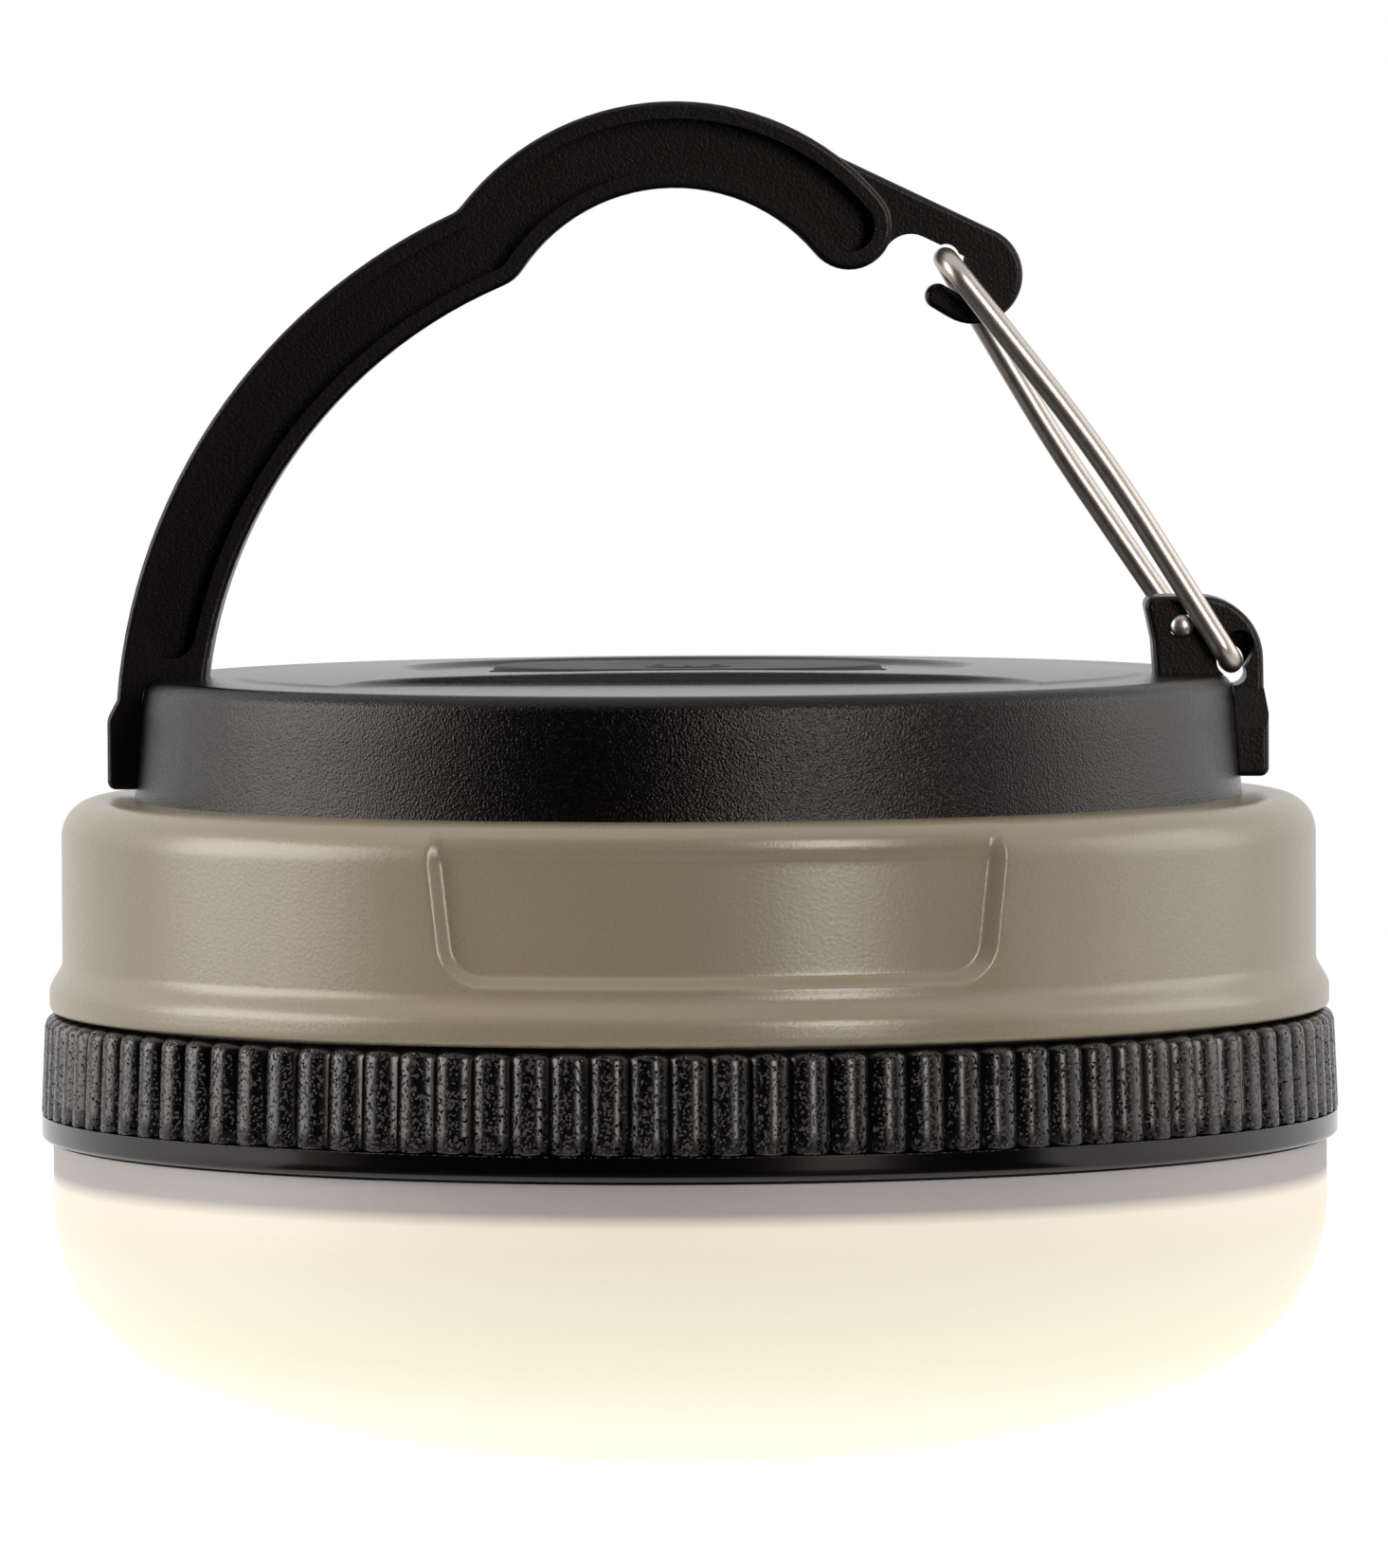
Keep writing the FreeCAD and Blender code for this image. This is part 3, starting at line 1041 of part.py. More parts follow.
PIECES = {
    "diffuser": diffuser,
    "bezel_ring": bezel_ring,
    "thread_collar": thread_collar,
    "collar_screws": collar_screws,
    "body_shell": body_shell,
    "top_cap": top_cap,
    "cap_seal": cap_seal,
    "carabiner_handle": carabiner_handle,
    "gate_post": gate_post,
    "gate_wire": gate_wire,
    "handle_screws": handle_screws,
    "power_button": power_button,
    "switch_plunger": switch_plunger,
    "push_switch": push_switch,
    "button_dome": button_dome,
    "control_board": control_board,
    "board_screws": board_screws,
    "driver_parts": driver_parts,
    "battery_tray": battery_tray,
    "tray_screws": tray_screws,
    "battery_cell_left": lambda: battery_cell(-1),
    "battery_cell_middle": lambda: battery_cell(0),
    "battery_cell_right": lambda: battery_cell(1),
    "contact_plates": contact_plates,
    "contact_springs": contact_springs,
    "spring_pins": spring_pins,
    "battery_leads": battery_leads,
    "head_gasket": head_gasket,
    "led_carrier": led_carrier,
    "led_board": led_board,
    "led_screws": led_screws,
    "leds": leds,
    "reflector": reflector,
    "contact_pads": contact_pads,
}


def main():
    os.makedirs("parts", exist_ok=True)
    for name, make in PIECES.items():
        made = make()
        solids = [s for piece in (made if isinstance(made, list) else [made]) for s in piece.Solids]
        shape = solids[0] if len(solids) == 1 else Part.makeCompound(solids)
        shape.exportStep(f"parts/{name}.step")
        print(name, len(solids), round(sum(s.Volume for s in solids), 2), all(s.isValid() for s in solids))


main()
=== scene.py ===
import math

import bmesh
import bpy
import numpy as np
from mathutils import Matrix, Vector


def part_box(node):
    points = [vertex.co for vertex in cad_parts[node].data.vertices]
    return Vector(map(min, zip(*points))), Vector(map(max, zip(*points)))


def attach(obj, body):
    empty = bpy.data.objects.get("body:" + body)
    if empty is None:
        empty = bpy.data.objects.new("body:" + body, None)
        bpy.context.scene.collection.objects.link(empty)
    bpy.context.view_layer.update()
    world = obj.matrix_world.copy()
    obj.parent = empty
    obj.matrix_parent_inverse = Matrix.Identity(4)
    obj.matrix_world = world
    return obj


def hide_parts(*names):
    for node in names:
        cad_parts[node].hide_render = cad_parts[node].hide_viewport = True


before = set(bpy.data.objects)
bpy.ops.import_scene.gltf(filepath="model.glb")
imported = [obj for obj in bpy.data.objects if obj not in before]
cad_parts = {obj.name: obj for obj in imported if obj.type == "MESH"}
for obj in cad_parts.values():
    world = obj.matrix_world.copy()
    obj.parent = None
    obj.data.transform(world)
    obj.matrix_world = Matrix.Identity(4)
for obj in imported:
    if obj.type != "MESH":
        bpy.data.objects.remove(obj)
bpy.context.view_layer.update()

# Sizes are in millimetres unless a comment says otherwise; meshes, cameras and lamps are in metres
MM = 0.001


def level(node, end):
    """Lowest (end 0) or highest (end 1) height of a node of the frame."""
    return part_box(node)[end][2] / MM


# Heights read from the frame
Z_RING = level("bezel_ring", 0)
Z_RING_TOP = level("bezel_ring", 1)
Z_BODY = level("body_shell", 0)
Z_CAP = level("body_shell", 1)
Z_SPIGOT = level("top_cap", 0)
Z_BUTTON_TOP = level("power_button", 1)

# The ribbed ring; the rib's columns are shares of the way from its crest to its groove
RING_R = 45.0
RING_BORE_R = 43.05
RING_TOP_ROUND = 0.9
RING_DRAFT = 0.25
LIP_R = 44.95
LIP_H = 1.7
LIP_ROUND = 0.35
LIP_BORE_R = 41.9
RIB_COUNT = 104
RIB_DEPTH = 0.62
RIB_POWER = 2.3
RIB_FOOT_ROUND = 0.2
RIB_COLUMNS = (0.0, 0.2, 0.38, 0.54, 0.68, 0.8, 0.91)
Z_RIB = Z_RING + LIP_H

# The thread in the ring's bore; it runs out over a share of its length at each end
THREAD_START = 27.75
THREAD_START_DEG = 25.0
THREAD_LEAD = 2.0
THREAD_TURNS = 1.05
THREAD_DEPTH = 0.9
THREAD_SUNK = 0.15
THREAD_ROOT_HALF = 0.5
THREAD_CREST_HALF = 0.25
THREAD_RUN_OUT = 0.04

# The olive body
BODY_R = 43.5
BODY_WALL = 1.9
BODY_CHAMFER = 1.5
BEAD_R = 44.4
BEAD_ROUND = 0.45
BEAD_LOW = 1.4
BEAD_HIGH = 3.5
SKIRT_R = 42.8
SKIRT_H = 2.05
SHOULDER_R = 2.6
OPENING_R = 35.9

# Its grip recesses; the lean is in radians and the softness is a share of the slope's width
RECESS_DEPTH = 0.9
RECESS_SLOPE = 0.7
RECESS_SOFT = 0.16
RECESS_LIFT = 3.9
RECESS_HALF = 18.64
RECESS_HALF_AT = 6.2
RECESS_LEAN = 0.109
RECESS_CORNER = 2.6
RECESS_TURN_DEG = 2.7

# Where the body's grid is fine: beside the recess's sides, inwards and outwards, and above its lower edge.
# The columns' lean fades out between two angles from those sides
FINE_IN_DEG = 3.4
FINE_OUT_DEG = 2.38
FINE_H = 3.6
LEAN_FADE_DEG = (4.0, 13.0)

# The cap; its edges reach from inside an outline to outside it
CAP_H = 8.3
CAP_R_LOW = 38.4
CAP_R_TOP = 37.75
CAP_EDGE = 1.2
CAP_WALL = 2.0
SPIGOT_R = 35.6
SPIGOT_WALL = 2.0
LEDGE_H = 1.4
BRIDGE_R = 31.5
BRIDGE_EDGE_H = 0.15
BRIDGE_CROWN_H = 0.95
BRIDGE_EDGE = (-0.55, 0.45)
BITE_HALF = 24.0
BITE_DEPTH_AT = 15.5
BITE_CORNER = 7.0
DISH = (39.0, 25.0)
DISH_FLOOR_H = 0.3
DISH_EDGE = (-0.6, 0.5)
OPENING = (27.6, 17.6)
Z_TOP = Z_CAP + CAP_H

# The gate's wire; places are across and above the cap's rim, and bends are radii along the wire
WIRE_R = 0.8
WIRE_END = 0.5
GATE_PIVOT = (34.18, 3.33)
GATE_SECOND = (37.6, 0.85)
GATE_TIP = (17.99, 28.77)
GATE_LEG_Y = 4.0
GATE_PIN_Y = -3.7
GATE_SECOND_Y = 1.3
GATE_BOWS = (-0.45, 0.9)
GATE_BENDS = (1.4, 120.0, 2.0, 2.0, 120.0, 1.4)

# The button's dished top and the mark on it; the bar's ends are shares of the mark's radius
BUTTON_DISH = 0.25
BUTTON_DISH_R = 90.0
MARK_R = 2.7
MARK_LINE = 0.32
MARK_PROUD = 0.16
MARK_SUNK = 0.05
MARK_GAP_DEG = 70.0
MARK_BAR = (0.25, 1.25)


def linear(hex_colour):
    """An sRGB hex value as a linear RGBA colour."""
    channels = np.array([int(hex_colour[i:i + 2], 16) for i in (1, 3, 5)]) / 255
    low, high = channels / 12.92, ((channels + 0.055) / 1.055) ** 2.4
    return (*np.where(channels <= 0.04045, low, high), 1.0)


def feed(tree, node, inputs):
    """Feeds a node's inputs: by a link from a socket or a node's first output in use, or else a value."""
    for name, source in inputs.items():
        if isinstance(source, bpy.types.Node):
            source = next(socket for socket in source.outputs if socket.enabled)
        if isinstance(source, bpy.types.NodeSocket):
            tree.links.new(source, node.inputs[name])
        else:
            node.inputs[name].default_value = source


def add(tree, kind, inputs=None, **settings):
    """Adds a node of a kind with its settings, and feeds its inputs."""
    node = tree.nodes.new(kind)
    for name, value in settings.items():
        setattr(node, name, value)
    feed(tree, node, inputs or {})
    return node


# Shapes as formulas on grids


def smooth(start, end, x):
    """Smooth step: 0 before the start, 1 after the end, a cubic between them."""
    t = np.clip((x - start) / (end - start), 0, 1)
    return t * t * (3 - 2 * t)


def soft_ramp(t, soft):
    """Ramp from 0 to 1 whose two corners are rounded: half of one plus the difference of two hyperbolas."""
    return 0.5 * (1 + np.sqrt(t * t + soft**2) - np.sqrt((t - 1) ** 2 + soft**2))


def corner_distance(x, y, corner):
    """Distance to the region where x and y are both negative, its corner rounded; negative inside."""
    qx, qy = x + corner, y + corner
    return np.hypot(np.maximum(qx, 0), np.maximum(qy, 0)) + np.minimum(np.maximum(qx, qy), 0) - corner


def oval_distance(x, y, size):
    """Distance to an oval with half-round ends along X: distance to its middle line, less its half width."""
    length, width = size
    return np.hypot(np.maximum(np.abs(x) - (length - width) / 2, 0), y) - width / 2


def oval_radius(turn, size):
    """Radius of that oval in a direction: to its straight side, or else to its round end."""
    length, width = size
    half, r = (length - width) / 2, width / 2
    c, s = np.abs(np.cos(turn)), np.abs(np.sin(turn))
    to_side = r / np.maximum(s, 1e-6)
    to_end = half * c + np.sqrt(np.maximum(r * r - (half * s) ** 2, 0))
    return np.where(to_side * c <= half, to_side, to_end)


def arc(centre, radius, from_deg, to_deg, count):
    """Points of an arc: the centre plus the radius times the cosine and sine of evenly spaced angles."""
    a = np.radians(np.linspace(from_deg, to_deg, count))
    return np.stack([centre[0] + radius * np.cos(a), centre[1] + radius * np.sin(a)], axis=1)


def run(start, end, count):
    """Evenly spaced points of a straight run."""
    return np.linspace(start, end, count)


def round_turn(count):
    """Evenly spaced angles of a whole turn, as a column."""
    return np.linspace(0, 2 * math.pi, count, endpoint=False)[:, None]


def turned(turn, r, z):
    """Points at the radii r and heights z, one row for each turn about Z."""
    turn, r, z = np.broadcast_arrays(turn, r, z)
    return np.stack([r * np.cos(turn), r * np.sin(turn), z], axis=-1)


def surface(name, points, wrap_u=True, wrap_v=True, sharp_deg=40.0):
    """Mesh of a grid of points whose two directions may each run round to the start.

    Points that coincide are merged, faces point outwards and edges past the angle are sharp."""
    nu, nv = points.shape[:2]
    index = np.arange(nu * nv).reshape(nu, nv)
    i = np.arange(nu if wrap_u else nu - 1)
    j = np.arange(nv if wrap_v else nv - 1)
    i, j = np.meshgrid(i, j, indexing="ij")
    i2, j2 = (i + 1) % nu, (j + 1) % nv
    quads = np.stack([index[i, j], index[i2, j], index[i2, j2], index[i, j2]], axis=-1).reshape(-1, 4)
    mesh = bpy.data.meshes.new(name)
    mesh.from_pydata((points.reshape(-1, 3) * MM).tolist(), [], quads.tolist())
    work = bmesh.new()
    work.from_mesh(mesh)
    bmesh.ops.remove_doubles(work, verts=work.verts, dist=1e-6)
    bmesh.ops.dissolve_degenerate(work, edges=work.edges, dist=1e-7)
    bmesh.ops.recalc_face_normals(work, faces=work.faces)
    work.to_mesh(mesh)
    work.free()
    mesh.shade_smooth()
    mesh.set_sharp_from_angle(angle=math.radians(sharp_deg))
    obj = bpy.data.objects.new(name, mesh)
    bpy.context.scene.collection.objects.link(obj)
    return obj


def body_columns(side):
    """Angles over the half turn round a recess's middle: evenly spaced, and finer beside its sides."""
    fine_from = side - math.radians(FINE_IN_DEG)
    fine_to = side + math.radians(FINE_OUT_DEG)
    quarter = np.concatenate([
        run(0, fine_from, 18),
        run(fine_from, fine_to, 48)[1:],
        run(fine_to, math.pi / 2, 46)[1:],
    ])
    return np.concatenate([-quarter[:0:-1], quarter[:-1]])


def body_shell():
    """Olive shell: a closed profile of radius and height, turned about Z.

    The outer wall is a cylinder that swells by a smooth step into the bead and ends in the shoulder's
    quarter round. Where the grip recesses are, it sinks along its normal by a soft ramp of the distance
    to their outline, which has leaning sides and round lower corners and runs out over the shoulder.
    The grid's columns lean with the sides of the outline."""
    z_shoulder = Z_CAP - SHOULDER_R
    z_low = Z_BODY + RECESS_LIFT
    heights = np.concatenate([
        run(Z_BODY + BEAD_ROUND, Z_BODY + BEAD_LOW, 4),
        run(Z_BODY + BEAD_LOW, Z_BODY + BEAD_HIGH, 16)[1:],
        run(Z_BODY + BEAD_HIGH, z_low + FINE_H, 40)[1:],
        run(z_low + FINE_H, z_shoulder, 14)[1:],
    ])
    swell = (BEAD_R - BODY_R) * (1 - smooth(Z_BODY + BEAD_LOW, Z_BODY + BEAD_HIGH, heights))
    inside = BODY_R - BODY_WALL
    z_in = Z_CAP - BODY_WALL
    outer = np.concatenate([
        arc((BEAD_R - BEAD_ROUND, Z_BODY + BEAD_ROUND), BEAD_ROUND, -90, 0, 7)[:-1],
        np.stack([BODY_R + swell, heights], axis=1),
        arc((BODY_R - SHOULDER_R, z_shoulder), SHOULDER_R, 0, 90, 20)[1:],
    ])
    inner = np.concatenate([
        run((BODY_R - SHOULDER_R, Z_CAP), (OPENING_R, Z_CAP), 6)[1:],
        [(OPENING_R, z_in), (inside - BODY_CHAMFER, z_in), (inside, z_in - BODY_CHAMFER)],
        [(inside, Z_BODY + SKIRT_H), (SKIRT_R, Z_BODY + SKIRT_H), (SKIRT_R, Z_BODY)],
    ])
    profile = np.concatenate([outer, inner])
    r, z = profile[:, 0], profile[:, 1]

    side = math.asin(RECESS_HALF / BODY_R)
    half = body_columns(side)
    local = np.concatenate([half, half])[:, None]
    half_turn = np.repeat([0.0, math.pi], len(half))[:, None]
    beside = 1 - smooth(*np.radians(LEAN_FADE_DEG), np.abs(np.abs(local) - side))
    above = np.clip(z, z_low, z_shoulder) - Z_BODY - RECESS_HALF_AT
    turn = local + np.sign(local) * beside * RECESS_LEAN * above / (BODY_R * math.cos(side))
    past_side = np.abs(BODY_R * np.sin(turn)) - RECESS_HALF - RECESS_LEAN * above
    outside = corner_distance(past_side * math.cos(RECESS_LEAN), z_low - z, RECESS_CORNER)
    rise = np.clip((z - z_shoulder) / SHOULDER_R, 0, 1)
    on_wall = np.arange(len(profile)) < len(outer)
    sink = soft_ramp(-outside / RECESS_SLOPE, RECESS_SOFT)
    dent = RECESS_DEPTH * sink * (1 - smooth(0.0, 1.0, rise)) * on_wall
    front = math.radians(RECESS_TURN_DEG - 90)
    sunk = turned(front + half_turn + turn, r - dent * np.sqrt(1 - rise**2), z - dent * rise)
    return surface("olive_body", sunk)


def ribbed_wall(r):
    """Profile of the ring's outside at a radius: a small foot round, a drafted wall and the top's round."""
    z_foot = Z_RIB + RIB_FOOT_ROUND
    z_round = Z_RING_TOP - RING_TOP_ROUND
    foot = arc((r - RIB_FOOT_ROUND, z_foot), RIB_FOOT_ROUND, -90, 0, 4)
    wall = run((r, z_foot), (r - RING_DRAFT, z_round), 6)
    top = arc((r - RING_DRAFT - RING_TOP_ROUND, z_round), RING_TOP_ROUND, 0, 90, 9)
    return np.concatenate([foot, wall[1:], top[1:]])


def bezel_ring():
    """Ribbed ring: two closed profiles, one through the crests and one through the grooves, turned about Z.

    Each column lies between the two by a power of its distance from the nearest crest's middle."""
    pitch = 2 * math.pi / RIB_COUNT
    share = np.array(RIB_COLUMNS)
    share = np.concatenate([share, [1.0], 2 - share[:0:-1]]) / 2
    turn = (np.arange(RIB_COUNT)[:, None] + share).reshape(-1, 1) * pitch
    from_crest = 2 * np.abs((turn / pitch + 0.5) % 1 - 0.5)
    crest = (1 - from_crest**RIB_POWER)[..., None]
    lip = np.concatenate([
        run((LIP_BORE_R, Z_RING), (LIP_R - LIP_ROUND, Z_RING), 4),
        arc((LIP_R - LIP_ROUND, Z_RING + LIP_ROUND), LIP_ROUND, -90, 0, 6)[1:],
        run((LIP_R, Z_RING + LIP_ROUND), (LIP_R, Z_RIB), 4)[1:],
    ])
    bore = np.array([(RING_BORE_R, Z_RING_TOP), (RING_BORE_R, Z_RIB), (LIP_BORE_R, Z_RIB)])
    high = np.concatenate([lip, ribbed_wall(RING_R), bore])
    low = np.concatenate([lip, ribbed_wall(RING_R - RIB_DEPTH), bore])
    mixed = high[None] * crest + low[None] * (1 - crest)
    return surface("ribbed_ring", turned(turn, mixed[..., 0], mixed[..., 1]))


def bezel_thread():
    """Thread ridge in the ring's bore: a trapezoid carried along a helix, running out at both ends."""
    along = np.linspace(0, 1, 161)[:, None]
    turn = math.radians(THREAD_START_DEG) + along * THREAD_TURNS * 2 * math.pi
    size = smooth(0, THREAD_RUN_OUT, along) * smooth(0, THREAD_RUN_OUT, 1 - along)
    inwards = (THREAD_SUNK + THREAD_DEPTH) * np.array([0, 1, 1, 0])
    up = np.array([-THREAD_ROOT_HALF, -THREAD_CREST_HALF, THREAD_CREST_HALF, THREAD_ROOT_HALF])
    r = RING_BORE_R + THREAD_SUNK - size * inwards
    z = THREAD_START + along * THREAD_TURNS * THREAD_LEAD + size * up
    return surface("ring_thread", turned(turn, r, z), wrap_u=False)


def cap_height(x, y):
    """Height of the cap's top above its rim: a crowned bridge with two bites, and a dish round the button.

    The bridge is a shallow paraboloid inside a disc and outside the bites, the dish is flat, and each
    edge is a smooth step of the distance to its outline."""
    radius = np.hypot(x, y)
    crown = BRIDGE_CROWN_H - (BRIDGE_CROWN_H - BRIDGE_EDGE_H) * (radius / BRIDGE_R) ** 2
    bite = corner_distance(np.abs(x) - BITE_HALF, BITE_DEPTH_AT - np.abs(y), BITE_CORNER)
    bridge = np.maximum(radius - BRIDGE_R, -bite)
    height = crown * (1 - smooth(*BRIDGE_EDGE, bridge))
    dish = 1 - smooth(*DISH_EDGE, oval_distance(x, y, DISH))
    return height * (1 - dish) + DISH_FLOOR_H * dish


def top_cap():
    """Black cap: closed loops round Z, from the button's opening out over the top and back underneath.

    Loops on the top and the ceiling go from the oval opening to a circle in even shares, and the top's
    height comes from cap_height; the other loops are circles of one profile."""
    turn = round_turn(480)
    hole = oval_radius(turn, OPENING)
    z_ceiling = Z_TOP - CAP_WALL
    rim = CAP_R_TOP - CAP_EDGE
    slope = (CAP_R_LOW - CAP_R_TOP) / CAP_H
    top_r = hole + (rim - hole) * run(0, 1, 116)
    top_z = Z_TOP + cap_height(top_r * np.cos(turn), top_r * np.sin(turn))
    profile = np.concatenate([
        arc((rim, Z_TOP - CAP_EDGE), CAP_EDGE, 90, 0, 12)[1:],
        run((CAP_R_TOP + slope * CAP_EDGE, Z_TOP - CAP_EDGE), (CAP_R_LOW, Z_CAP), 8)[1:],
        [(SPIGOT_R, Z_CAP), (SPIGOT_R, Z_SPIGOT), (SPIGOT_R - SPIGOT_WALL, Z_SPIGOT)],
        [(SPIGOT_R - SPIGOT_WALL, Z_CAP + LEDGE_H), (CAP_R_LOW - CAP_WALL, Z_CAP + LEDGE_H)],
        [(CAP_R_TOP - CAP_WALL, z_ceiling)],
    ])
    ones = np.ones_like(turn)
    r = np.concatenate([top_r, profile[:, 0] * ones, hole], axis=1)
    z = np.concatenate([top_z, profile[:, 1] * ones, z_ceiling * ones], axis=1)
    return surface("grained_cap", turned(turn, r, z))


def unit(vectors):
    """The same directions, each of length 1."""
    return vectors / np.linalg.norm(vectors, axis=-1, keepdims=True)


def rounded_path(corners, bends):
    """Points along straight runs that are joined by an arc of the given radius at each inner corner."""
    pieces = [corners[:1]]
    for before, corner, after, bend in zip(corners, corners[1:], corners[2:], bends):
        u = unit(before - corner)
        w = unit(after - corner)
        half = math.acos(np.dot(u, w)) / 2
        middle = unit(u + w)
        across = unit(w - u)
        centre = corner + middle * bend / math.sin(half)
        a = run(half - math.pi / 2, math.pi / 2 - half, 25)[:, None]
        pieces.append(centre + bend * (np.sin(a) * across - np.cos(a) * middle))
    return np.concatenate(pieces + [corners[-1:]])


def bowed(low, high, out):
    """Middle of a leg of the gate, moved out of line by that much."""
    leg = np.subtract(high, low)
    return np.add(low, high) / 2 + out * np.array([leg[1], -leg[0]]) / np.hypot(*leg)


def wire_gate():
    """Wire gate: a circle carried along the pins, legs and cross run, its ends rounded to a point.

    The circle's axes are made from the path's direction and the normal of the plane of the two legs."""
    y = GATE_LEG_Y
    rear = bowed(GATE_PIVOT, GATE_TIP, GATE_BOWS[0])
    fore = bowed(GATE_SECOND, GATE_TIP, GATE_BOWS[1])
    stops = [(GATE_PIVOT, GATE_PIN_Y), (GATE_PIVOT, y), (rear, y), (GATE_TIP, y)]
    stops += [(GATE_TIP, -y), (fore, -y), (GATE_SECOND, -y), (GATE_SECOND, GATE_SECOND_Y)]
    corners = np.array([(x, across, Z_TOP + up) for (x, up), across in stops])
    rough = rounded_path(corners, GATE_BENDS)
    gone = np.concatenate([[0], np.cumsum(np.linalg.norm(np.diff(rough, axis=0), axis=1))])
    s = run(0, gone[-1], 640)
    path = np.stack([np.interp(s, gone, rough[:, k]) for k in range(3)], axis=1)
    way = unit(np.gradient(path, axis=0))
    plane = np.cross(corners[3] - corners[1], (0, 1, 0))
    first = unit(plane - way * (way @ plane)[:, None])
    second = np.cross(way, first)
    from_end = np.clip(np.minimum(s, gone[-1] - s) / WIRE_END, 0, 1)
    size = WIRE_R * np.sqrt(1 - (1 - from_end) ** 2)[:, None, None]
    a = round_turn(28)
    points = path[:, None] + size * (np.cos(a) * first[:, None] + np.sin(a) * second[:, None])
    return surface("gate_rod", points, wrap_u=False)


def dished_top(x, y):
    """Height of the button's dished top: the bottom of a large sphere."""
    return Z_BUTTON_TOP - BUTTON_DISH + BUTTON_DISH_R - np.sqrt(BUTTON_DISH_R**2 - x * x - y * y)


def raised_line(name, x, y):
    """Raised line on the button: a half-round ridge along a path.

    Each end is drawn to a point over three steps, by a quarter of a circle."""
    dx, dy = np.gradient(x), np.gradient(y)
    step = np.hypot(dx, dy)
    across_x, across_y = -dy / step, dx / step
    a = np.radians([180, 150, 120, 90, 60, 30, 0, -90])
    end = np.minimum(np.arange(len(x)), np.arange(len(x))[::-1])
    size = np.sqrt(1 - (1 - np.clip(end / 3, 0, 1)) ** 2)[:, None]
    px = x[:, None] + size * MARK_LINE * np.cos(a) * across_x[:, None]
    py = y[:, None] + size * MARK_LINE * np.cos(a) * across_y[:, None]
    pz = dished_top(px, py) - MARK_SUNK + size * (MARK_PROUD + MARK_SUNK) * np.sin(a)
    return surface(name, np.stack([px, py, pz], axis=-1), wrap_u=False)


def power_mark():
    """The usual mark of a power button: a broken ring and a short bar in its gap."""
    half = math.radians(MARK_GAP_DEG / 2)
    a = run(math.pi / 2 + half, 5 * math.pi / 2 - half, 61)
    ring = raised_line("power_mark_ring", MARK_R * np.cos(a), MARK_R * np.sin(a))
    y = run(MARK_R * MARK_BAR[0], MARK_R * MARK_BAR[1], 15)
    bar = raised_line("power_mark_bar", np.zeros_like(y), y)
    return [ring, bar]


# Materials

WHITE = (1.0, 1.0, 1.0, 1.0)
# Fine carbon black has a brown undertone, which shows in the highlights of the black plastics
BROWNED = (1.0, 0.93, 0.91, 1.0)
PLASTIC_IOR = 1.5
FROSTED_IOR = 1.58

# Width of the soft patches of tone, and of one grain of a noise at scale 1
PATCH_MM = 7.0
NOISE_GRAIN = 0.6
NOISE_DETAIL = 2.0
# How far roughness goes up and down with the grain of a mould, and with the streaks of a metal
MOULD_SPREAD = 0.03
METAL_SPREAD = 0.05
STREAK_MM = 0.8
# Rubbed faces: the edge they start at, the share of grain and roughness left, and the least roughness
WORN_EDGE = 0.2
WORN_LEFT = 0.6
WORN_LEAST = 0.25

# The ring's coarse grain: facets on its crests, of which a share lean, and a polished lip
FACET_MM = 0.15
FACET_TILT = 2.2
FACET_SHARE = 0.34
FACET_ROUGHNESS = 0.10
RING_ROUGHNESS = 0.24
LIP_POLISH = 0.6
CREST_DEPTH = 0.3
CREST_R = RING_R - RING_DRAFT - CREST_DEPTH
CREST_FADE = 0.08
LIP_FADE = 0.1

# The lit bowl's colours, at shares of the height up to the ring; the light ends below the grey band
FROST_MM = 0.5
FROST_ROUGHNESS = (0.46, 0.58)
GLOW_FOOT = "#d9dac6"
GLOW = {0.27: "#dad7bf", 0.43: "#cecbac", 0.6: "#c4bfa6", 0.76: "#bcb398", 0.855: "#bdb29c"}
GLOW_END = 0.9

# The lacquered boards: where a cell's edge starts and ends, how high it stands, and their gloss
TRACK_EDGE = (0.25, 0.35)
TRACK_PROUD = 0.03
LACQUER_ROUGHNESS = 0.3


def start_finish(name):
    """A new material, its node tree, its shader and the place on the piece in metres."""
    material = bpy.data.materials.new(name)
    material.use_nodes = True
    tree = material.node_tree
    return material, tree, tree.nodes["Principled BSDF"], add(tree, "ShaderNodeTexCoord").outputs["Object"]


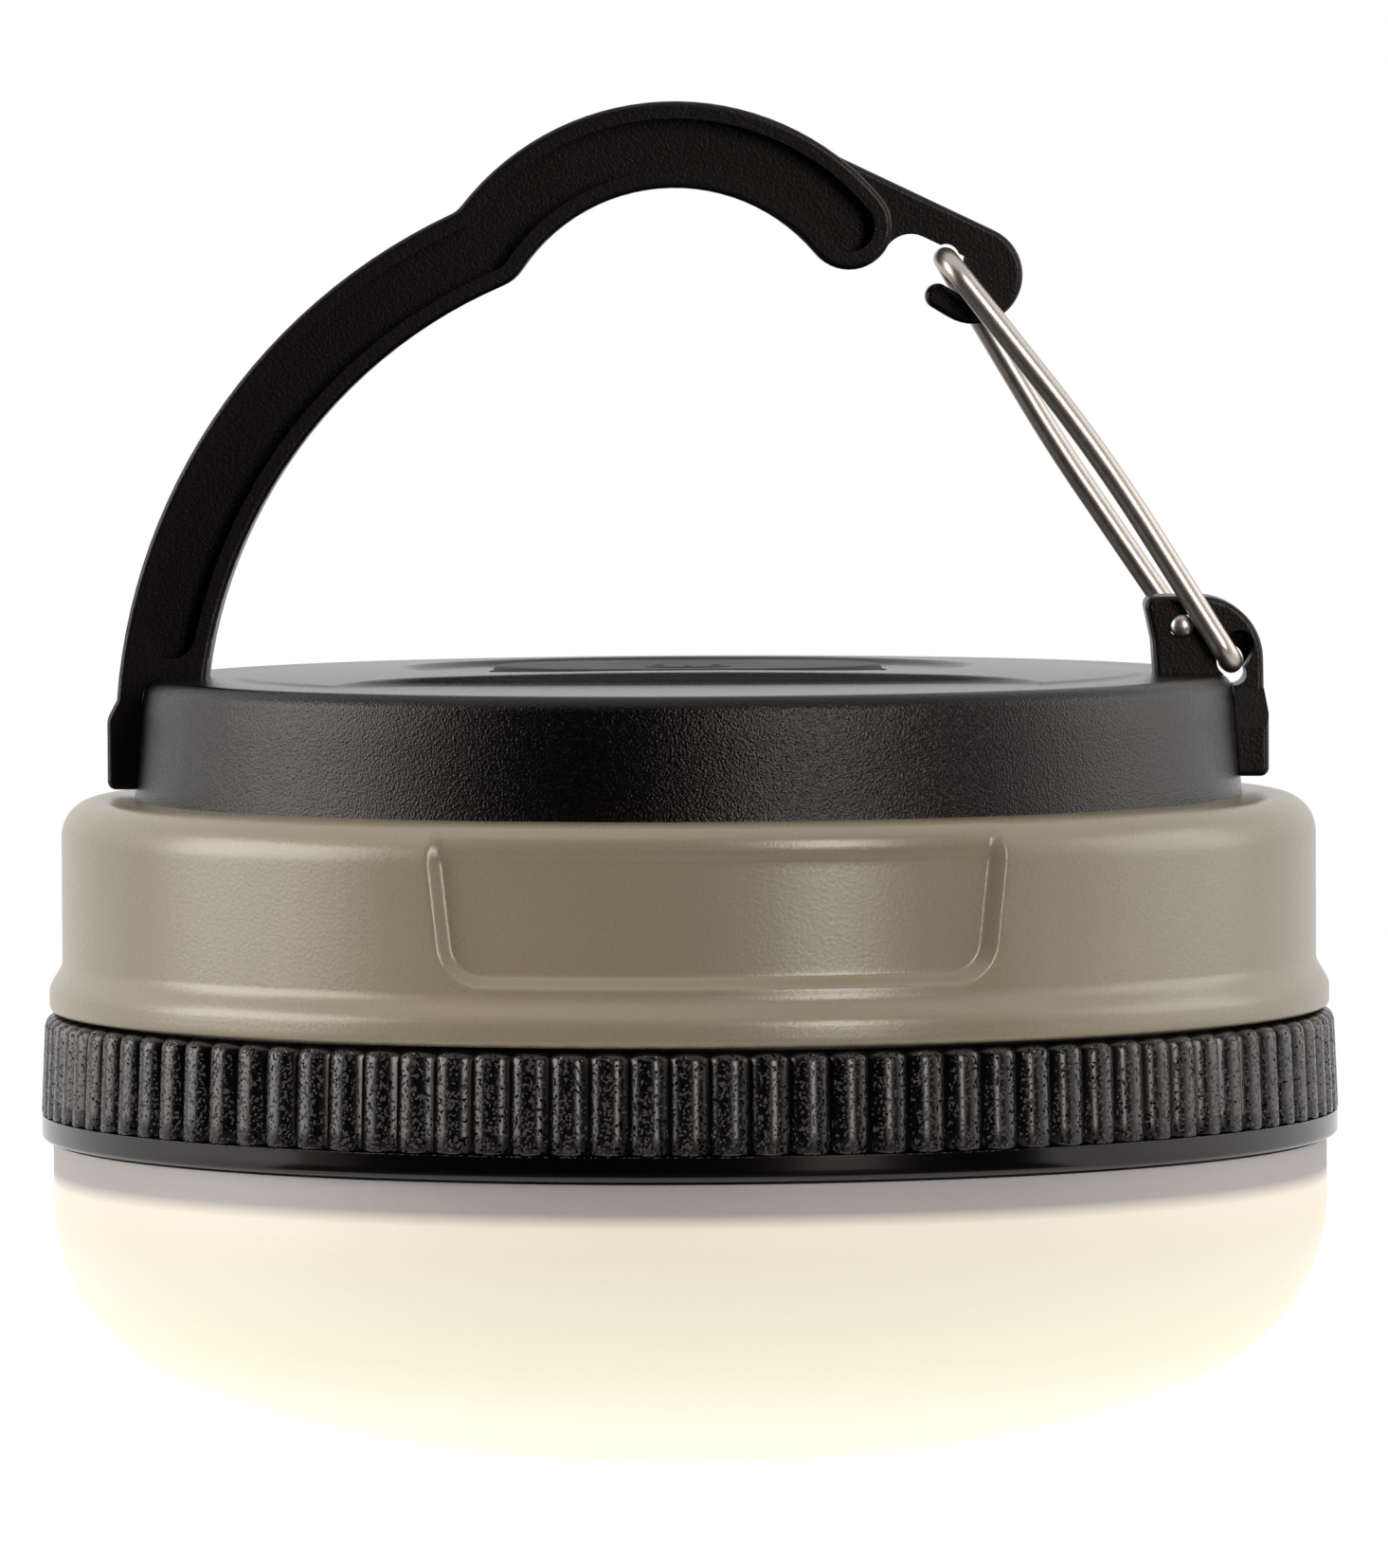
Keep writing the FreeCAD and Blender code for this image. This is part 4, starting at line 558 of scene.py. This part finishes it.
def moulded(name, dark, light, roughness, grain_mm, depth_mm, specular=0.5, tint=WHITE, worn=None):
    """Moulded plastic: two close tones in soft patches, and the grain of the mould in gloss and bump.

    What is above the height worn has been rubbed smoother."""
    material, tree, shader, where = start_finish(name)
    patch = add(tree, "ShaderNodeTexNoise", {
        "Vector": where, "Scale": 1 / (PATCH_MM * MM), "Detail": NOISE_DETAIL,
    })
    tones = {"Factor": patch, "A": linear(dark), "B": linear(light)}
    grain = add(tree, "ShaderNodeTexNoise", {
        "Vector": where, "Scale": NOISE_GRAIN / (grain_mm * MM), "Detail": NOISE_DETAIL,
    })
    gloss = add(tree, "ShaderNodeMapRange", {
        "Value": grain, "To Min": roughness + MOULD_SPREAD, "To Max": roughness - MOULD_SPREAD,
    })
    bump = add(tree, "ShaderNodeBump", {"Height": grain, "Distance": depth_mm * MM})
    if worn is not None:
        height = add(tree, "ShaderNodeSeparateXYZ", {"Vector": where}).outputs["Z"]
        left = add(tree, "ShaderNodeMapRange", {
            "Value": height, "From Min": (worn - WORN_EDGE) * MM, "From Max": worn * MM,
            "To Min": 1.0, "To Max": WORN_LEFT,
        })
        feed(tree, bump, {"Strength": left})
        gloss = add(tree, "ShaderNodeMath", {0: gloss, 1: left}, operation="MULTIPLY")
        gloss = add(tree, "ShaderNodeMath", {0: gloss, 1: WORN_LEAST}, operation="MAXIMUM")
    feed(tree, shader, {
        "Base Color": add(tree, "ShaderNodeMix", tones, data_type="RGBA"),
        "Roughness": gloss,
        "Normal": bump,
        "IOR": PLASTIC_IOR,
        "Specular IOR Level": specular,
        "Specular Tint": tint,
    })
    return material


def faceted_ring(name, dark, light, specular, tint):
    """Plastic from a coarse spark-eroded mould: on the ring's crests, small facets that lean their own way.

    A facet's lean is its cell's random colour, less a half. The crests are what is outside a radius and
    above the lip; the grooves are smooth, and the lip is polished."""
    material, tree, shader, where = start_finish(name)
    facets = add(tree, "ShaderNodeTexVoronoi", {"Vector": where, "Scale": 1 / (FACET_MM * MM)})
    chance = facets.outputs["Color"]
    chances = add(tree, "ShaderNodeSeparateColor", {"Color": chance})
    tones = {"Factor": chances.outputs["Red"], "A": linear(dark), "B": linear(light)}
    leans = add(tree, "ShaderNodeMath", {0: chances.outputs["Blue"], 1: FACET_SHARE}, operation="LESS_THAN")

    flat = add(tree, "ShaderNodeVectorMath", {0: where, 1: (1, 1, 0)}, operation="MULTIPLY")
    radius = add(tree, "ShaderNodeVectorMath", {0: flat}, operation="LENGTH")
    out = add(tree, "ShaderNodeMapRange", {
        "Value": radius, "From Min": (CREST_R - CREST_FADE) * MM, "From Max": (CREST_R + CREST_FADE) * MM,
    })
    height = add(tree, "ShaderNodeSeparateXYZ", {"Vector": where}).outputs["Z"]
    up = add(tree, "ShaderNodeMapRange", {
        "Value": height, "From Min": (Z_RIB - LIP_FADE) * MM, "From Max": (Z_RIB + LIP_FADE) * MM,
    })
    crest = add(tree, "ShaderNodeMath", {0: out, 1: up}, operation="MULTIPLY")
    leaning = add(tree, "ShaderNodeMath", {0: crest, 1: leans}, operation="MULTIPLY")

    amount = add(tree, "ShaderNodeMath", {0: leaning, 1: FACET_TILT}, operation="MULTIPLY")
    lean = add(tree, "ShaderNodeVectorMath", {0: chance, 1: (0.5, 0.5, 0.5)}, operation="SUBTRACT")
    lean = add(tree, "ShaderNodeVectorMath", {0: lean, "Scale": amount}, operation="SCALE")
    straight = add(tree, "ShaderNodeNewGeometry").outputs["Normal"]
    normal = add(tree, "ShaderNodeVectorMath", {0: straight, 1: lean}, operation="ADD")
    gloss = add(tree, "ShaderNodeMapRange", {
        "Value": leaning, "To Min": RING_ROUGHNESS, "To Max": FACET_ROUGHNESS,
    })
    polish = add(tree, "ShaderNodeMapRange", {"Value": up, "To Min": LIP_POLISH, "To Max": 1.0})
    feed(tree, shader, {
        "Base Color": add(tree, "ShaderNodeMix", tones, data_type="RGBA"),
        "Roughness": add(tree, "ShaderNodeMath", {0: gloss, 1: polish}, operation="MULTIPLY"),
        "Normal": add(tree, "ShaderNodeVectorMath", {0: normal}, operation="NORMALIZE"),
        "IOR": PLASTIC_IOR,
        "Specular IOR Level": specular,
        "Specular Tint": tint,
    })
    return material


def plated(name, colour, roughness):
    """Metal: one colour, with a fine unevenness of gloss left by drawing or plating."""
    material, tree, shader, where = start_finish(name)
    streaks = add(tree, "ShaderNodeTexNoise", {
        "Vector": where, "Scale": 1 / (STREAK_MM * MM), "Detail": NOISE_DETAIL,
    })
    gloss = add(tree, "ShaderNodeMapRange", {
        "Value": streaks, "To Min": roughness - METAL_SPREAD, "To Max": roughness + METAL_SPREAD,
    })
    feed(tree, shader, {"Base Color": linear(colour), "Metallic": 1.0, "Roughness": gloss})
    return material


def frosted_dome(name, dark, light):
    """Frosted plastic lit from inside: a bright bowl that stops short of the ring in a grey band."""
    material, tree, shader, where = start_finish(name)
    frost = add(tree, "ShaderNodeTexNoise", {
        "Vector": where, "Scale": 1 / (FROST_MM * MM), "Detail": NOISE_DETAIL,
    })
    tones = {"Factor": frost, "A": linear(dark), "B": linear(light)}
    gloss = add(tree, "ShaderNodeMapRange", {
        "Value": frost, "To Min": FROST_ROUGHNESS[0], "To Max": FROST_ROUGHNESS[1],
    })
    height = add(tree, "ShaderNodeSeparateXYZ", {"Vector": where}).outputs["Z"]
    share = add(tree, "ShaderNodeMapRange", {"Value": height, "From Min": 0.0, "From Max": Z_RING * MM})
    glow = add(tree, "ShaderNodeValToRGB", {"Fac": share})
    stops = glow.color_ramp.elements
    stops[0].position, stops[0].color = 0.0, linear(GLOW_FOOT)
    stops[1].position, stops[1].color = GLOW_END, linear("#000000")
    for share_up, colour in GLOW.items():
        stops.new(share_up).color = linear(colour)
    feed(tree, shader, {
        "Base Color": add(tree, "ShaderNodeMix", tones, data_type="RGBA"),
        "Roughness": gloss,
        "IOR": FROSTED_IOR,
        "Emission Color": glow,
        "Emission Strength": 1.0,
    })
    return material


def printed_board(name, dark, light, line_mm):
    """Circuit board: lacquer over copper, whose tracks show through as slightly lighter cells."""
    material, tree, shader, where = start_finish(name)
    tracks = add(
        tree, "ShaderNodeTexVoronoi", {"Vector": where, "Scale": 1 / (line_mm * MM)}, distance="MANHATTAN",
    )
    edge = add(tree, "ShaderNodeMapRange", {
        "Value": tracks, "From Min": TRACK_EDGE[0], "From Max": TRACK_EDGE[1],
    })
    tones = {"Factor": edge, "A": linear(dark), "B": linear(light)}
    feed(tree, shader, {
        "Base Color": add(tree, "ShaderNodeMix", tones, data_type="RGBA"),
        "Roughness": LACQUER_ROUGHNESS,
        "Normal": add(tree, "ShaderNodeBump", {"Height": edge, "Distance": TRACK_PROUD * MM}),
    })
    return material


# ABS from a lightly etched mould: an olive satin with a faint orange peel that breaks up the highlights
olive_abs = moulded(
    "olive_abs", "#8c816c", "#90856f", roughness=0.28, grain_mm=0.15, depth_mm=0.013, specular=0.6,
)
# ABS from a mould etched with a leather grain: black, with a net of small glints, rubbed smoother on top
leather_abs = moulded(
    "leather_grain_black_abs", "#020202", "#040303", roughness=0.22, grain_mm=0.10, depth_mm=0.06,
    specular=0.26, tint=BROWNED, worn=Z_TOP,
)
# Glass-filled nylon from a spark-eroded mould: black with a dusty speckle
spark_nylon = moulded(
    "spark_grain_black_nylon", "#010101", "#040303", roughness=0.36, grain_mm=0.13, depth_mm=0.025,
    specular=0.25, tint=BROWNED,
)
# ABS from a coarse spark-eroded mould: each facet glints by itself
spark_abs = faceted_ring("coarse_spark_black_abs", "#020202", "#050404", specular=0.5, tint=BROWNED)
# Polycarbonate from a blasted mould: frosted and milky, and lit from inside
frosted = frosted_dome("frosted_polycarbonate", "#a5a19e", "#aba7a4")
# Soft elastomer moulded over the button: black, matt and slightly dusty
elastomer = moulded(
    "black_button_elastomer", "#121213", "#18181a", roughness=0.62, grain_mm=0.30, depth_mm=0.02,
)
# Plain moulded ABS of the inner frames: dark grey, satin
inner_abs = moulded("plain_dark_abs", "#262628", "#2b2b2d", roughness=0.42, grain_mm=0.8, depth_mm=0.01)
# White ABS of the plates round the lamps: clean and matt
white_abs = moulded("matt_white_abs", "#e6e6e2", "#ecebe8", roughness=0.55, grain_mm=0.6, depth_mm=0.01)
# Moulded rubber of the seal and the gasket: black, matt, with a dusty bloom
rubber = moulded("black_rubber", "#151515", "#1d1d1c", roughness=0.7, grain_mm=0.5, depth_mm=0.02)
# Cast silicone: milky and waxy
silicone = moulded("milky_silicone", "#c9c9c4", "#d2d2cd", roughness=0.5, grain_mm=0.9, depth_mm=0.01)
# Moulded switch housing and epoxy packages: grey-black with a sandy matt face
epoxy = moulded("moulded_epoxy", "#1f1f20", "#29292a", roughness=0.6, grain_mm=0.25, depth_mm=0.02)
# Acetal of the switch's plunger: ivory and smooth
acetal = moulded("ivory_acetal", "#cfcbbd", "#d6d2c6", roughness=0.35, grain_mm=1.0, depth_mm=0.005)
# Shrink film round the cells: silver-grey with a soft gloss
film = moulded("silver_film", "#8a8d91", "#94979b", roughness=0.28, grain_mm=2.5, depth_mm=0.01)
# Extruded insulation of the leads: red and waxy
insulation = moulded("red_insulation", "#8c1713", "#9a1d18", roughness=0.4, grain_mm=0.6, depth_mm=0.01)
# Phosphor under clear silicone: a warm yellow, glossy drop
phosphor = moulded("yellow_phosphor", "#e2c050", "#eacb62", roughness=0.2, grain_mm=0.5, depth_mm=0.01)
# Drawn stainless wire: bright, with a gloss that the die has left slightly uneven
drawn_steel = plated("drawn_stainless_wire", "#b4ada5", roughness=0.36)
# Zinc-plated screws: cool grey and slightly cloudy
zinc = plated("zinc_plate", "#c2c4c8", roughness=0.35)
# Nickel-plated strip of the battery contacts: warm grey
nickel = plated("nickel_plate", "#cbc6ba", roughness=0.25)
# Gold flash on the spring pins: a thin, bright yellow
gilt = plated("gold_flash", "#d8b25e", roughness=0.22)
# Bare rolled brass pads: yellow, a little dull
brass = plated("rolled_brass", "#c9a455", roughness=0.33)
# Green lacquer over the control board's copper: glossy, with the tracks showing through
green_board = printed_board("green_lacquered_board", "#12452a", "#1b5a36", line_mm=1.6)
# White lacquer over the lamp board's aluminium: glossy, with hardly any track to see
lamp_board = printed_board("white_lacquered_board", "#dcdcd6", "#e6e5e0", line_mm=3.0)

FINISHES = {
    spark_nylon: ["carabiner_handle", "gate_post"],
    frosted: ["diffuser"],
    elastomer: ["power_button"],
    inner_abs: ["thread_collar", "battery_tray"],
    white_abs: ["led_carrier", "reflector"],
    rubber: ["cap_seal", "head_gasket"],
    silicone: ["button_dome"],
    epoxy: ["push_switch", "driver_parts"],
    acetal: ["switch_plunger"],
    film: ["battery_cell_left", "battery_cell_middle", "battery_cell_right"],
    insulation: ["battery_leads"],
    phosphor: ["leds"],
    zinc: ["handle_screws", "board_screws", "tray_screws", "collar_screws", "led_screws"],
    nickel: ["contact_plates", "contact_springs"],
    gilt: ["spring_pins"],
    brass: ["contact_pads"],
    green_board: ["control_board"],
    lamp_board: ["led_board"],
}
for finish, names in FINISHES.items():
    for name in names:
        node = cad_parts[name]
        node.data.materials.clear()
        node.data.materials.append(finish)


def place(piece, finish, body, slot, *nodes):
    """Finishes a new piece, seats it on a body, and hides the nodes it stands for."""
    piece.data.materials.append(finish)
    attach(piece, body)
    if nodes:
        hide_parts(*nodes)


place(body_shell(), olive_abs, "housing", "olive_abs", "body_shell")
place(top_cap(), leather_abs, "housing", "black_abs", "top_cap")
place(bezel_ring(), spark_abs, "bezel", "bezel_abs", "bezel_ring")
place(bezel_thread(), spark_abs, "bezel", "bezel_abs")
place(wire_gate(), drawn_steel, "gate", "stainless_wire", "gate_wire")
for line in power_mark():
    place(line, elastomer, "button", "button_elastomer")

# Camera, fitted to the photograph; pitch and roll are in radians, clipping is in metres
CAMERA_ACROSS = 0.39
CAMERA_AWAY = 870.0
CAMERA_ABOVE_RIM = 33.6
CAMERA_PITCH = 0.0473
CAMERA_ROLL = -0.005
CAMERA_SENSOR = 36.0
CAMERA_LENS = 288.0
CAMERA_CLIP = (0.05, 50.0)

camera = bpy.data.objects.new("camera", bpy.data.cameras.new("camera"))
bpy.context.scene.collection.objects.link(camera)
camera.data.sensor_width = CAMERA_SENSOR
camera.data.lens = CAMERA_LENS
camera.data.clip_start, camera.data.clip_end = CAMERA_CLIP
camera.matrix_world = (
    Matrix.Translation(Vector((CAMERA_ACROSS, -CAMERA_AWAY, Z_TOP + CAMERA_ABOVE_RIM)) * MM)
    @ Matrix.Rotation(math.pi / 2 - CAMERA_PITCH, 4, "X")
    @ Matrix.Rotation(CAMERA_ROLL, 4, "Z")
)
bpy.context.scene.camera = camera

# Studio: a white tent that is dark on the camera's side, with one strip of light there

LAMP_TINT = (1.0, 0.955, 0.92)
LAMP_AIM = Vector((0, 0, 0.04))
LAMP_HEIGHT = 0.25
# Light that the tent gives to matt faces, as a share of its white
TENT_FILL = 0.66
# The floor, and the zone round the lantern's foot where its paper fades out and the white takes over
FLOOR_X = (-6000, 6000)
FLOOR_Y = (-6000, 9000)
PAPER_FADE = (75, 112)
PAPER_SHARE = 0.7
# The felt goes from near the lantern to behind the camera, just above the floor, and then straight up
FELT_TURN_DEG = (-68, 60)
FELT_NEAR = 120
FELT_FAR = 1250
FELT_LIFT = 2.0
FELT_HIGH = 1300


def softbox(name, turn_deg, distance, size, power):
    """Area lamp that faces the lantern, at a turn from the camera's side about Z, in metres and watts."""
    lamp = bpy.data.lights.new(name, "AREA")
    lamp.shape = "RECTANGLE"
    lamp.size, lamp.size_y = size
    lamp.energy = power
    lamp.color = LAMP_TINT
    obj = bpy.data.objects.new(name, lamp)
    bpy.context.scene.collection.objects.link(obj)
    a = math.radians(turn_deg)
    spot = Vector((distance * math.sin(a), -distance * math.cos(a), LAMP_HEIGHT))
    facing = (LAMP_AIM - spot).to_track_quat("-Z", "Y")
    obj.matrix_world = Matrix.Translation(spot) @ facing.to_matrix().to_4x4()
    obj.visible_camera = False


def seen_ray(tree):
    """1 for a ray that sees the background: from the camera, a reflection or a transmission."""
    rays = add(tree, "ShaderNodeLightPath").outputs
    mirrored, passed = rays["Is Glossy Ray"], rays["Is Transmission Ray"]
    bent = add(tree, "ShaderNodeMath", {0: mirrored, 1: passed}, operation="MAXIMUM")
    return add(tree, "ShaderNodeMath", {0: rays["Is Camera Ray"], 1: bent}, operation="MAXIMUM")


def white_tent():
    """World that is white where it is seen, and gives matt faces somewhat less light than that."""
    world = bpy.data.worlds.new("white_tent")
    world.use_nodes = True
    bpy.context.scene.world = world
    tree = world.node_tree
    tree.nodes.clear()
    strength = add(tree, "ShaderNodeMapRange", {
        "Value": seen_ray(tree), "To Min": TENT_FILL, "To Max": 1.0,
    })
    sky = add(tree, "ShaderNodeBackground", {"Color": WHITE, "Strength": strength})
    add(tree, "ShaderNodeOutputWorld", {"Surface": sky})


def matt_shader(name, roughness):
    """A new material without any gloss, its node tree, its shader and the place in metres."""
    material, tree, shader, where = start_finish(name)
    feed(tree, shader, {"Roughness": roughness, "Specular IOR Level": 0.0})
    return material, tree, shader, where


def paper_floor():
    """White floor: bright where it is seen far off, and a lit paper white that takes the shadow close by."""
    x, y = np.meshgrid(FLOOR_X, FLOOR_Y, indexing="ij")
    floor = surface("floor", np.stack([x, y, np.zeros_like(x)], axis=-1), wrap_u=False, wrap_v=False)
    paper, tree, shader, where = matt_shader("white_paper", roughness=0.9)
    away = add(tree, "ShaderNodeVectorMath", {0: where}, operation="LENGTH")
    far = add(tree, "ShaderNodeMapRange", {
        "Value": away, "From Min": PAPER_FADE[0] * MM, "From Max": PAPER_FADE[1] * MM,
    })
    tones = {"Factor": far, "A": linear("#bcbcbc"), "B": linear("#000000")}
    share = add(tree, "ShaderNodeMapRange", {"Value": far, "To Min": PAPER_SHARE, "To Max": 1.0})
    bright = add(tree, "ShaderNodeMath", {0: share, 1: seen_ray(tree)}, operation="MULTIPLY")
    feed(tree, shader, {
        "Base Color": add(tree, "ShaderNodeMix", tones, data_type="RGBA"),
        "Emission Color": WHITE,
        "Emission Strength": bright,
    })
    floor.data.materials.append(paper)


def dark_felt():
    """Dark felt on the camera's side: a strip turned about Z that lies on the floor and then stands up."""
    turn = np.radians(run(*FELT_TURN_DEG, 33) - 90)[:, None]
    r = np.array([FELT_NEAR, FELT_FAR, FELT_FAR])
    z = np.array([FELT_LIFT, FELT_LIFT, FELT_HIGH])
    felt = surface("dark_felt", turned(turn, r, z), wrap_u=False, wrap_v=False)
    felt.visible_camera = False
    black_felt, tree, shader, _ = matt_shader("black_felt", roughness=1.0)
    feed(tree, shader, {"Base Color": linear("#0c0c0c")})
    felt.data.materials.append(black_felt)


softbox("strip_box", turn_deg=26, distance=1.1, size=(0.27, 0.9), power=8.6)
softbox("left_box", turn_deg=-84, distance=1.0, size=(0.85, 0.8), power=11.5)
softbox("right_box", turn_deg=100, distance=1.0, size=(0.7, 0.8), power=4.0)
white_tent()
paper_floor()
dark_felt()

bpy.context.scene.view_settings.view_transform = "Standard"
